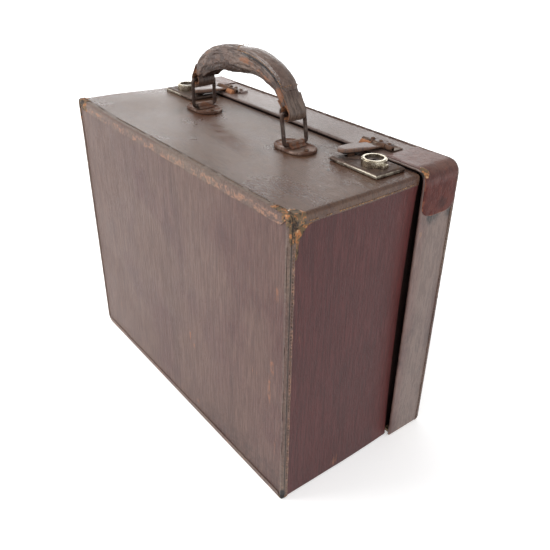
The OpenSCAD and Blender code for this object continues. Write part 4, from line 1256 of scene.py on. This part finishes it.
def make_corner_patch(side):
    """Leather over a top corner of the lid, cut straight on the top and to a tongue on the side."""
    s_low = lid_line.corner(1, 0.0) - (PATCH_DOWN - 12 * MM)
    s_high = lid_line.corner(1, 1.0) + (PATCH_ALONG - 13 * MM)
    y_mid = (corner_lo.y + corner_hi.y) / 2
    half = (corner_hi.y - corner_lo.y) / 2
    cols = 22

    def place(s, j):
        share = max(0.0, 1 - (s - s_low) / PATCH_ROUND)
        width = half - PATCH_ROUND * (1 - math.sqrt(max(0.0, 1 - share ** 2)))
        t = 2 * j / cols - 1
        y = y_mid + width * t
        y += 0.25 * MM * rough((s, y, 0), 6 * MM, 41) if j in (0, cols) else 0
        rim = ramp(1 - abs(t), 0, 0.12)
        crease = 0.5 * MM * rough((s * 0.6, y, 0), 9 * MM, 42)
        out = PATCH_T * (0.35 + 0.65 * rim) + min(0, crease) * rim
        return lid_point(s, y, out), lid_point(s, y, 0.02 * MM)

    def wear(co):
        x, z = abs(co.x), co.z
        foot = z - (LID_TOP - PATCH_DOWN)
        inwards = min(foot, co.y - y_mid + half) if x > LID_HALF - 6 * MM else half
        rim = (0.5 + 0.3 * rough(co, 7 * MM, 44)) * ramp(2.4 * MM - inwards, 0, 1.6 * MM)
        bend = 0.24 * bump(math.atan2(LID_TOP - z, max(1e-6, LID_HALF - x)), 0.8, 0.6)
        return max(rim, bend, 0.16 + 0.3 * rough(co, 16 * MM, 43))

    def torn(co):
        place = (LID_HALF / MM - 5, corner_lo.y / MM + 3, LID_TOP / MM - 3)
        return 0.9 * blot((abs(co.x), co.y, co.z), place, (6, 4, 8), 0.4)

    def dark(co):
        foot = math.hypot(co.z - (LID_TOP - 36 * MM), co.y - y_mid - 3 * MM) / (15 * MM)
        return 0.5 * ramp(1 - foot, 0, 0.8) if abs(co.x) > LID_HALF - 2 * MM else 0.0

    def faded(co):
        """Greyer on the top than down the side."""
        return 0.75 * ramp(co.z, LID_TOP - 7 * MM, LID_TOP - 1 * MM) + 0.2 * rough(co, 20 * MM, 45)

    skin = shell(*grids(lid_line.run(s_low, s_high, 2 * MM), range(cols + 1), place))
    name = side_name(side)
    solid(f"corner_patch_{name}", on_side([skin], side), patch_leather, "lid", "leather_patch",
          [f"lid_corner_patch_{name}"], wear=wear, dark=dark, torn=torn,
          red=lambda co: 0.3 * ramp(LID_TOP - co.z, 4 * MM, 14 * MM),
          matt=lambda co: 0.7 * ramp(LID_TOP - co.z, 6 * MM, 18 * MM), faded=faded)


# ---------- hasps ----------

HASP_X = 134 * MM
HASP_TILT = -2.5 * DEG
HASP_SLANT = -4 * DEG
HASP_LEN = 50.5 * MM
HASP_HALF = 8 * MM
hasp_pin = Vector((HASP_X, (pin_lo.y + pin_hi.y) / 2, (pin_lo.z + pin_hi.z) / 2))
rivet_xs = [116 * MM, 127 * MM, 138 * MM]
rivet_y = hasp_pin.y + 9.5 * MM


def hasp_width(along):
    """Half width of the hasp at a distance from its pin."""
    root = lerp(HASP_HALF - 1.5 * MM, HASP_HALF, ramp(along, 0, 16 * MM))
    taper = lerp(root, HASP_HALF - 2 * MM, ramp(along, 32 * MM, HASP_LEN - 2 * MM))
    round_r = 7 * MM
    left = HASP_LEN - along
    if left < round_r:
        taper *= math.sqrt(max(0.0, 1 - (1 - left / round_r) ** 2))
    return taper


def hasp_place(x, along, z):
    """From the hasp's own axes, x across and along towards its tip, to the case's axes."""
    turn = Matrix.Rotation(HASP_TILT, 3, "X") @ Matrix.Rotation(HASP_SLANT, 3, "Z")
    return hasp_pin + turn @ Vector((x, -along, z))


def make_hasp_leather(side):
    """A rounded leather sleeve over the steel arm, thicker towards its tip."""
    rings = []
    root, tip = 11 * MM, HASP_LEN + 0.4 * MM
    for along in spread(root, tip, 1 * MM):
        t = (along - root) / (HASP_LEN - root)
        half = max(0.6 * MM, hasp_width(min(along, HASP_LEN)) + 0.4 * MM)
        thick = lerp(1.2, 2.5, ramp(t, 0, 0.6)) * MM * lerp(0.55, 1, ramp(tip - along, 0, 3 * MM))
        ring = []
        for k in range(28):
            a = 2 * math.pi * k / 28
            u = blunt(half, math.cos(a), 0.3)
            v = blunt(thick, math.sin(a), 0.42)
            v += 0.18 * MM * rough((u, along, v * 3), 7 * MM, 51) if math.sin(a) > 0 else 0.0
            ring.append(hasp_place(u, along, 0.9 * MM + v))
        rings.append(ring)

    def wear(co):
        d = math.hypot(abs(co.x) - hasp_pin.x, co.y - hasp_pin.y)
        tip = 0.3 * ramp(d, HASP_LEN - 8 * MM, HASP_LEN)
        along = hasp_pin.y - co.y
        across = abs(abs(co.x) - hasp_pin.x + along * math.tan(-HASP_SLANT))
        edge = 0.56 * ramp(across, hasp_width(along) - 2 * MM, hasp_width(along) - 0.2 * MM)
        return max(tip, edge, 0.16)

    # Painted shade on the sleeve's underside, below the plane through the pin.
    def dark(co):
        rise = hasp_pin.z + (hasp_pin.y - co.y) * math.tan(-HASP_TILT)
        return 0.9 * ramp(rise - co.z, -0.5 * MM, 0.8 * MM)

    name = side_name(side)
    solid(f"hasp_cover_{name}", on_side([tube(rings)], side), lid_leather, f"hasp_{name}",
          "leather_lid", [f"hasp_leather_{name}"], wear=wear, dark=dark, faded=lambda co: 0.4)


def make_hasp_patch(side):
    """The leather sewn over the hasp's hinge leaf: the leaf and its rivets show through as lumps."""
    x_mid, wide = (patch_lo.x + patch_hi.x) / 2, patch_hi.x - patch_lo.x
    thick = patch_hi.z - LID_TOP
    rows, cols = 20, 48

    def place(i, j):
        v = i / rows
        u = 2 * j / cols - 1
        shrink = math.sqrt(max(0.0, 1 - max(0.0, (v - 0.45) / 0.55) ** 2.2))
        x = x_mid + u * wide / 2 * max(0.35, shrink)
        y = lerp(patch_lo.y, patch_hi.y, v)
        edge = min(ramp(1 - abs(u), 0, 0.14), ramp(1 - v, 0, 0.16), ramp(v, -0.25, 0.1))
        lump = sum(0.6 * MM * ramp(5 * MM - math.hypot(x - rx, y - rivet_y), 0, 4 * MM) for rx in rivet_xs)
        crease = 0.9 * MM * rough((x * 0.8, y * 0.8, 0), 5 * MM, 61)
        z = LID_TOP + 0.3 * MM + edge * (thick - 0.9 * MM + min(lump, 0.6 * MM) + min(0.1 * MM, crease))
        return Vector((x, y, z)), Vector((x, y, LID_TOP + 0.02 * MM))

    def wear(co):
        rivet = min(math.hypot(abs(co.x) - rx, co.y - rivet_y) for rx in rivet_xs)
        bumps = ramp(4.5 * MM - rivet, 0, 3 * MM)
        front = ramp(patch_lo.y + 3 * MM - co.y, 0, 3 * MM)
        rim = ramp(0.8 * MM - (co.z - LID_TOP), 0, 0.8 * MM)
        return max(0.44 * bumps, 0.5 * front, 0.4 * rim, 0.26)

    skin = shell(*grids(range(rows + 1), range(cols + 1), place))
    name = side_name(side)
    solid(f"hasp_patch_{name}_skin", on_side([skin], side), lid_leather, "lid", "leather_lid",
          [f"hasp_patch_{name}"], wear=wear, dark=lambda co: 0.3 + 0.5 * rough(co, 7 * MM, 62))


def make_torn_strip(side):
    """The bare, rust-orange strip in front of the hinge's inner knuckle."""
    rows, cols = 8, 22

    def place(i, j):
        x = lerp(112.6 * MM, 126.2 * MM, j / cols)
        y = lerp(58.5 * MM, 65 * MM, i / rows)
        roll = math.sin(math.pi * (0.12 + 0.8 * i / rows))
        ends = 0.4 + 0.6 * ramp(1 - abs(2 * j / cols - 1), 0, 0.12)
        z = LID_TOP + 0.1 * MM + (4.3 * MM * roll + 0.15 * MM * rough((x, y, 0), 4 * MM, 66)) * ends
        return Vector((x, y, z)), Vector((x, y, LID_TOP - 0.2 * MM))

    strip = shell(*grids(range(rows + 1), range(cols + 1), place))
    solid(f"bare_strip_{side_name(side)}", on_side([strip], side), copper_rust, "lid", "rusty_steel",
          dark=lambda co: 0.75 * ramp(113.6 * MM - abs(co.x), 0, 2 * MM))


def make_knuckles(side):
    """The hinge leaf's knuckles, pitted and swollen with rust, and its plate."""
    def ring_point(x, k, r):
        a = 2 * math.pi * k / 20
        c, d = math.cos(a), math.sin(a)
        r += 0.22 * MM * min(0.0, rough((x, c * 3 * MM, d * 3 * MM), 3 * MM, 68))
        return Vector((x, hasp_pin.y + r * c, max(LID_TOP, hasp_pin.z + r * d)))

    def plate_point(y, x):
        p = Vector((x, y, LID_TOP + 1.2 * MM))
        return p, p - Vector((0, 0, 1.2 * MM))

    gap = 0.3 * MM
    parts = []
    for start, end in ((leaf_lo.x, HASP_X - HASP_HALF - gap), (HASP_X + HASP_HALF + gap, leaf_hi.x)):
        rings = []
        for x in spread(start, end, 0.8 * MM):
            r = lerp(1.9, 2.6, ramp(min(x - start, end - x), 0, 0.8 * MM)) * MM
            rings.append([ring_point(x, k, r) for k in range(20)])
        parts.append(tube(rings))
        ys, xs = spread(hasp_pin.y, leaf_hi.y, 3 * MM), spread(start, end, 3 * MM)
        parts.append(shell(*grids(ys, xs, plate_point)))
    name = side_name(side)
    solid(f"hasp_hinge_{name}", on_side(parts, side), rusty_steel, "lid", "rusty_steel",
          [f"hasp_leaf_{name}"], dark=lambda co: 0.34 + 0.4 * rough(co, 5 * MM, 69), wear=lambda co: 0.0)


# ---------- handle ----------

WIRE_R = (ring_left_hi.x - ring_left_lo.x) / 2
LOOP_R = 8.5 * MM
GRIP_RISE = 38 * MM
HANDLE_Y = (ring_left_lo.y + ring_left_hi.y) / 2
left_top = Vector((strap_lo.x + LOOP_R, 0, ring_left_hi.z - WIRE_R))
right_top = Vector((strap_hi.x - LOOP_R, 0, strap_lo.z + LOOP_R))
grip_middle = (left_top + right_top) / 2
grip_half = (right_top.x - left_top.x) / 2
GRIP_SQUARE = 2.4  # 2 would make the grip's section an ellipse


def grip_point(s):
    """The grip's centre line, s from 0 at the left ring to 2 at the right one."""
    u = s if s <= 1 else 2 - s
    v = 1 - u
    weights = (v ** 3, 3 * v * v * u, 3 * v * u * u, u ** 3)
    x = -grip_half * (weights[0] + 0.93 * weights[1] + 0.53 * weights[2])
    z = GRIP_RISE * (0.66 * weights[1] + weights[2] + weights[3])
    return Vector((grip_middle.x + (x if s <= 1 else -x), HANDLE_Y, grip_middle.z + z))


def grip_ahead(s):
    """Along the grip's centre line, towards its right end."""
    return grip_point(min(2, s + 0.01)) - grip_point(max(0, s - 0.01))


def grip_out(s):
    d = grip_ahead(s)
    return Vector((-d.z, 0, d.x)).normalized()


def grip_thick(s):
    m = 1 - abs(s - 1)
    return (6.8 + 2.9 * math.sin(math.pi / 2 * min(1, m * 1.25))) * MM * lerp(0.8, 1, ramp(m, 0.06, 0.26))


def grip_wide(s):
    m = 1 - abs(s - 1)
    return (11.6 - 0.5 * m) * MM * lerp(0.93, 1, ramp(m, 0.06, 0.26))


def grip_surface(s, angle, grow=0.0):
    """A point of the grip's surface: angle 0 is the lid side, 90 the outside, 180 the front, 270 underneath.
    It is thicker underneath."""
    c, k = math.cos(angle * DEG), math.sin(angle * DEG)
    deeper = 0.95 * ramp(s, -0.1, 0.25) * ramp(1.6 - s, 0, 0.9) if k < 0 else 0.0
    u = blunt(grip_wide(s) + grow, c, 2 / GRIP_SQUARE)
    v = blunt(grip_thick(s) * (1 + deeper) + grow, k, 2 / GRIP_SQUARE)
    return grip_point(s) + Vector((0, u, 0)) + grip_out(s) * v


COVER_T = 1.8 * MM
SEAM_OPEN = 0.86  # where along the grip its open seam closes


def seam_gap(s):
    """Half the angle of the cover's open seam underneath: wide on the left, nearly closed on the right."""
    return lerp(44, 7, ramp(s, SEAM_OPEN - 0.14, SEAM_OPEN + 0.12))


def grip_place(co):
    """Where a point sits on the grip: s along it, and the angle round it in degrees."""
    low, high = 0.0, 2.0
    for _ in range(14):
        s = (low + high) / 2
        if (co - grip_point(s)).dot(grip_ahead(s)) > 0:
            low = s
        else:
            high = s
    offset = co - grip_point(s)
    up, across = offset.dot(grip_out(s)) / grip_thick(s), offset.y / grip_wide(s)
    return s, math.degrees(math.atan2(up, across)) % 360


def patch_on(place, s, angle, along, round_by):
    """1 near one spot of the grip, falling to 0 at along and round_by from it."""
    turn = (place[1] - angle + 180) % 360 - 180
    return ramp(1.3 - math.hypot((place[0] - s) / along, turn / round_by), 0, 0.9)


def grip_wear(co):
    """Worn tan on the near side: at the left root, along the seam's lip, and below the raised piece."""
    place = grip_place(co)
    lip = 0.66 * bump(place[1], 204, 9) * ramp(1.2 - place[0], 0, 0.3) * (0.8 + 0.4 * rough(co, 9 * MM, 70))
    return max(
        lip, 0.52 * patch_on(place, 0.18, 150, 0.2, 50),
        0.62 * patch_on(place, 1.16, 176, 0.16, 24), 0.62 * patch_on(place, 1.42, 190, 0.2, 20),
        0.66 * patch_on(place, 1.78, 176, 0.16, 46), 0.5 * patch_on(place, 0.05, 90, 0.12, 200),
        0.16 + 0.26 * rough((place[0] * 0.5, place[1] / 260, 0), 0.2, 71),
    )


def grip_painted_shade(co):
    """Painted shade on the grip's underside and in the groove beside the raised piece."""
    s, angle = grip_place(co)
    under = ramp(58 - abs((angle - 270 + 180) % 360 - 180), -4, 8)
    groove = 0.8 * bump(angle, 147, 9) * ramp(s, 0.96, 1.1) * ramp(1.8 - s, 0, 0.1)
    return max(0.5 * under, groove)


def make_cover():
    """The grip's stitched leather, whose seam has opened underneath on the left."""
    cols = 60

    def place(s, j):
        gap = seam_gap(s)
        angle = lerp(-90 + gap, 270 - gap, j / cols)
        lip = ramp(1 - min(j, cols - j) / 5, 0, 1)
        around = (math.cos(angle * DEG) * 3.6, math.sin(angle * DEG) * 3.6)
        wrinkle = 0.9 * MM * rough((s * 1.3, *around), 0.42, 72)
        wrinkle += 0.7 * MM * rough((s, 3, 0), 0.16, 73)
        flare = 0.9 * MM * lip * ramp(SEAM_OPEN + 0.02 - s, 0, 0.2)
        tidy = lip * ramp(s - SEAM_OPEN, 0, 0.2) * -0.7 * MM
        p = grip_surface(s, angle, wrinkle + flare + tidy - 0.3 * MM)
        return p, grip_surface(s, angle, wrinkle * 0.6 + flare - COVER_T)

    skin = shell(*grids(spread(0.09, 1.91, 0.0135), range(cols + 1), place))
    cover = solid("grip_cover", [skin], grip_leather, "handle", "leather_grip", ["handle_cover"],
                  wear=grip_wear, dark=grip_painted_shade)


def make_filler():
    """The dark packed core that shows where the seam under the grip has opened."""
    def place(s, angle):
        under = bump(angle, 270, 60)
        around = (math.cos(angle * DEG) * 2, math.sin(angle * DEG) * 2)
        fibre = 0.5 * MM * rough((s * 3, *around), 0.3, 75)
        return grip_surface(s, angle, -COVER_T - 0.35 * MM - 0.8 * MM * under + fibre * under)

    rings = [[place(s, angle) for angle in range(0, 360, 10)] for s in spread(0.1, 1.9, 0.02)]
    solid("grip_core", [tube(rings)], under_leather, "handle", "grip_filler", ["handle_filler"],
          wear=lambda co: 0.16 + 0.3 * rough(co, 14 * MM, 76), dark=lambda co: 0.3)


SADDLE_START, SADDLE_END = 0.98, 1.77
SADDLE_ANGLE = 54


def make_saddle():
    """The raised piece sewn over the outside of the grip, right of its middle."""
    cols = 34

    def place(s, j):
        close = min(s - SADDLE_START, SADDLE_END - s)
        end = min(ramp(s, SADDLE_START, SADDLE_START + 0.22), ramp(SADDLE_END - s, 0, 0.03))
        t = 2 * j / cols - 1
        angle = 90 - lerp(40, SADDLE_ANGLE, ramp(close, 0, 0.12)) * t
        edge = ramp(1 - abs(t), 0, 0.22)
        ridge = 1.9 * MM * (1 - abs(t) ** 2.5)
        crease = 0.7 * MM * rough((s * 2, t * 1.2, 0), 0.3, 81)
        channel = -0.6 * MM * bump(abs(t), 0.74, 0.14)
        grow = 0.1 * MM + edge * end * (0.7 * MM + ridge + min(0.1 * MM, crease)) + channel * end
        return grip_surface(s, angle, max(0.0, grow)), grip_surface(s, angle, -0.9 * MM)

    def wear(co):
        return 0.2 + 0.3 * rough((co.x * 0.5, co.y * 2, co.z * 0.5), 16 * MM, 82)

    # Painted shade along the raised piece's two edges and in the groove inside each.
    def dark(co):
        s, angle = grip_place(co)
        edge = bump(abs(angle - 90), 52, 10)
        slit = bump(abs(angle - 90), 38, 5)
        return 0.8 * max(edge, 0.7 * slit) * ramp(s, SADDLE_START + 0.03, SADDLE_START + 0.15)

    skin = shell(*grids(spread(SADDLE_START, SADDLE_END, 0.0125), range(cols + 1), place))
    solid("grip_saddle", [skin], saddle_leather, "handle", "leather_grip", ["handle_grip_wrap"],
          wear=wear, dark=dark)
    parts = []
    for t in (-0.86, 0.86):
        line = []
        for s in spread(SADDLE_START + 0.03, SADDLE_END - 0.03, 0.01):
            p = grip_surface(s, 90 - SADDLE_ANGLE * t, 0.75 * MM)
            line.append((p, (p - grip_point(s)).normalized()))
        parts += stitch_row(line, 3.2, 2.3, 0.36, 0.32, 0.2, 83)
    for s in (SADDLE_END - 0.035, SADDLE_START + 0.035):
        line = [(grip_surface(s, a, 2.2 * MM), grip_out(s)) for a in range(54, 127, 5)]
        parts += stitch_row(line, 3.0, 2.3, 0.42, 0.6, 0.25, 84)
    solid("saddle_stitches", parts, tan_thread, "handle", "leather_grip")


def belt(path, width, thick, seed):
    """A leather band along a line of points in X and Z, sizes in mm, with softened long edges."""
    rings = []
    for i, point in enumerate(path):
        a, b = path[max(0, i - 1)], path[min(len(path) - 1, i + 1)]
        ahead = (b - a).normalized()
        out = Vector((-ahead.z, 0, ahead.x))
        ring = []
        for j in range(16):
            a = 2 * math.pi * j / 16
            u = blunt(width * MM / 2, math.cos(a), 0.35)
            v = blunt(thick * MM / 2, math.sin(a), 0.6)
            p = point + Vector((0, u, 0)) + out * v
            p += Vector((1, 1, 1)) * 0.22 * MM * rough(p, 5 * MM, seed)
            ring.append(p)
        rings.append(ring)
    return tube(rings)


def loop_path(centre, s_end, radius, spare=0.0):
    """From the grip's outside at s_end, round the ring's bar and back to the grip's inside."""
    outward = 1 if s_end > 1 else -1
    sink = grip_out(s_end) * (grip_thick(s_end) - 2.2 * MM + spare)
    top, low = grip_point(s_end) + sink, grip_point(s_end) - sink
    middle = Vector((centre.x, HANDLE_Y, centre.z))
    bottom = [
        middle + Vector((outward * radius * math.cos(a * DEG), 0, radius * math.sin(a * DEG)))
        for a in range(20, -221, -20)
    ]
    return smooth_path([top, top.lerp(bottom[0], 0.5), *bottom, bottom[-1].lerp(low, 0.5), low])


def smooth_path(points, steps=3):
    """A smooth curve through points, by Catmull-Rom."""
    found = []
    for i in range(len(points) - 1):
        p0, p1 = points[max(0, i - 1)], points[i]
        p2, p3 = points[i + 1], points[min(len(points) - 1, i + 2)]
        for k in range(steps):
            t = k / steps
            found.append(0.5 * (
                2 * p1 + (p2 - p0) * t + (2 * p0 - 5 * p1 + 4 * p2 - p3) * t * t
                + (3 * p1 - p0 - 3 * p2 + p3) * t ** 3
            ))
    found.append(points[-1])
    return found


def make_strap():
    """The two ends of the strap: a dark outer layer round each ring and tan frayed layers inside it."""
    dark_parts, raw_parts = [], []
    radius = LOOP_R - 1.1 * MM
    for centre, s_end in ((left_top, 0.2), (right_top, 1.8)):
        dark_parts.append(belt(loop_path(centre, s_end, radius), 21.5, 2.0, 91))
        raw_parts.append(belt(loop_path(centre, s_end, radius - 1.7 * MM, -1.7 * MM), 20.6, 1.5, 92))
        outward = 1 if s_end > 1 else -1
        for layer in range(3):
            shift = (layer - 1) * 2.1 * MM
            a = grip_point(s_end) + grip_out(s_end) * shift
            b = Vector((centre.x, HANDLE_Y, centre.z))
            b += Vector((outward * 1.5 * MM + shift * outward, 0, 6.2 * MM))
            line = smooth_path([a, a.lerp(b, 0.4) + Vector((0.4 * MM * layer, 0, 0)), b], 5)
            raw_parts.append(belt(line, 19.4 + layer % 2 * 1.2, 1.7, 93 + layer))
    solid("strap_ends", dark_parts, grip_leather, "handle", "leather_grip",
          wear=lambda co: 0.16 + 0.42 * ramp(abs(co.y - HANDLE_Y), 9 * MM, 10.8 * MM),
          faded=lambda co: 0.8 if co.x > 0 else 0.0, dark=lambda co: 0.0 if co.x > 0 else 0.42)
    solid("strap_layers", raw_parts, raw_leather, "handle", "leather_strap", ["handle_strap"],
          wear=lambda co: 0.3 + 0.3 * rough(co, 6 * MM, 97),
          dark=lambda co: 0.36 + 0.5 * rough(co, 4 * MM, 98))


# ---------- handle plates and locks ----------

# across an oval plate's rolled rim and field: distance in from its edge and height, in mm
PLATE_PROFILE = (
    (0.0, 0.0), (0.0, 1.2), (0.5, 2.2), (1.4, 2.6), (2.4, 2.5), (3.2, 1.9), (4.0, 1.55), (5.5, 1.5),
    (9.0, 1.45), (13.0, 1.45), (15.6, 1.45),
)


def make_handle_plate(name):
    """Oval plate: a flat field inside a thick rolled rim, with a bridge over the ring's lower bar."""
    lo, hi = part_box(f"handle_plate_{name}")
    middle = (lo + hi) / 2
    end_r = (hi.y - lo.y) / 2
    core = (hi.x - lo.x) / 2 - end_r
    rings = []
    for inwards, height in PLATE_PROFILE:
        r = end_r - inwards * MM
        ring = []
        for x, y in arc(r, -90, 90, 16, core) + arc(r, 90, 270, 16, -core):
            dent = 0.1 * MM * rough((x + middle.x, y, height), 6 * MM, 101)
            z = TOP + height * MM + (dent if height > 1.2 else 0.0)
            ring.append(Vector((middle.x + x, HANDLE_Y + y, z)))
        rings.append(ring)
    pin_z = ring_left_lo.z + WIRE_R
    flange_top, flange_foot = -WIRE_R + 0.1 * MM, -WIRE_R - 0.7 * MM
    bridge = []
    for y in spread(-9.6 * MM, 9.6 * MM, 2.4 * MM):
        r_out = WIRE_R + 1.35 * MM - 0.3 * MM * ramp(abs(y), 7.5 * MM, 9.6 * MM)
        foot = r_out + 3.2 * MM
        outline = [(foot, flange_foot), (foot, flange_top), *arc(r_out, -10, 190, 14)]
        outline += [(-foot, flange_top), (-foot, flange_foot), *arc(WIRE_R + 0.1 * MM, 190, -10, 14)]
        bridge.append([Vector((middle.x + x, HANDLE_Y + y, pin_z + z)) for x, z in outline])

    def dark(co):
        x = max(0.0, abs(co.x - middle.x) - core)
        rim = end_r - math.hypot(x, co.y - HANDLE_Y)
        return 0.5 * ramp(4.4 * MM - rim, 0, 2 * MM) * ramp(TOP + 5 * MM - co.z, 0, 1 * MM)

    solid(f"oval_plate_{name}", [tube(rings), tube(bridge)], plate_steel, "case", "rusty_steel",
          [f"handle_plate_{name}"], dark=dark)


def plate_edge(co):
    """How far a point of a lock plate is from the plate's nearest edge."""
    x = abs(co.x)
    return min(x - plate_lo.x, plate_hi.x - x, co.y - plate_lo.y, plate_hi.y - co.y)


def plate_wear(co):
    """Bright metal on the lock plate's edges and corners."""
    corner = math.hypot(plate_hi.x - abs(co.x), co.y - plate_lo.y)
    return ramp(1.6 * MM - plate_edge(co), 0, 0.8 * MM) * lerp(0.3, 0.7, ramp(10 * MM - corner, 0, 6 * MM))


def plate_dark(co):
    return lerp(0.1, 0.2, ramp(plate_edge(co), 0.4 * MM, 1.6 * MM))


def make_spring(name):
    """The knob's leaf spring, with rounded edges and a mesh of its own."""
    spring = softened(f"lock_spring_{name}", f"spring_{name}", lock_steel, "case", "lock_steel", 0.08 * MM)
    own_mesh(spring)


# ---------- the whole case ----------

make_front()
for which in (-1, 1):
    make_side(which)
    make_corner_patch(which)
    make_hasp_leather(which)
    make_hasp_patch(which)
    make_torn_strip(which)
    make_knuckles(which)
make_top()
make_flecks()
make_base()
make_binding()
make_body_stitches()
make_band()
make_lid_edge()
make_lid_panel()
make_cover()
make_filler()
make_saddle()
make_strap()
for which in ("left", "right"):
    make_handle_plate(which)
    softened(f"lock_plate_{which}", f"plate_{which}", lock_steel, "case", "lock_steel", 0.5 * MM, 0.1 * MM,
             wear=plate_wear, dark=plate_dark)
    make_spring(which)
    softened(f"lock_slide_{which}", f"knob_{which}", nickel, f"slide_{which}", "nickel", 0.45 * MM)
    softened(f"key_plug_{which}", f"key_disc_{which}", lock_steel, f"plug_{which}", "lock_steel", 0.2 * MM,
             dark=lambda co: 0.62)
    softened(f"hasp_{which}", f"hasp_arm_{which}", rusty_steel, f"hasp_{which}", "rusty_steel", 0.25 * MM)

kept = {
    board: [
        "front_board", "top_board", "bottom_board", "left_board", "right_board", "lid_panel_board",
        "lid_top_board", "lid_bottom_board", "lid_left_board", "lid_right_board",
    ],
    lining: ["body_lining", "lid_lining"],
    rim_shade_leather: ["rim_binding"],
    ring_steel: ["ring_left", "ring_right"],
    rusty_steel: [
        "handle_rivets", "lock_case_left", "lock_case_right", "hasp_rivets",
        "hasp_pin_left", "hasp_pin_right", "hinge_leaves_body", "hinge_leaves_lid", "hinge_pins",
        "hinge_rivets_body", "hinge_rivets_lid",
    ],
}
for material, nodes in kept.items():
    for node in nodes:
        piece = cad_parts[node]
        for place in piece.material_slots:
            place.material = material
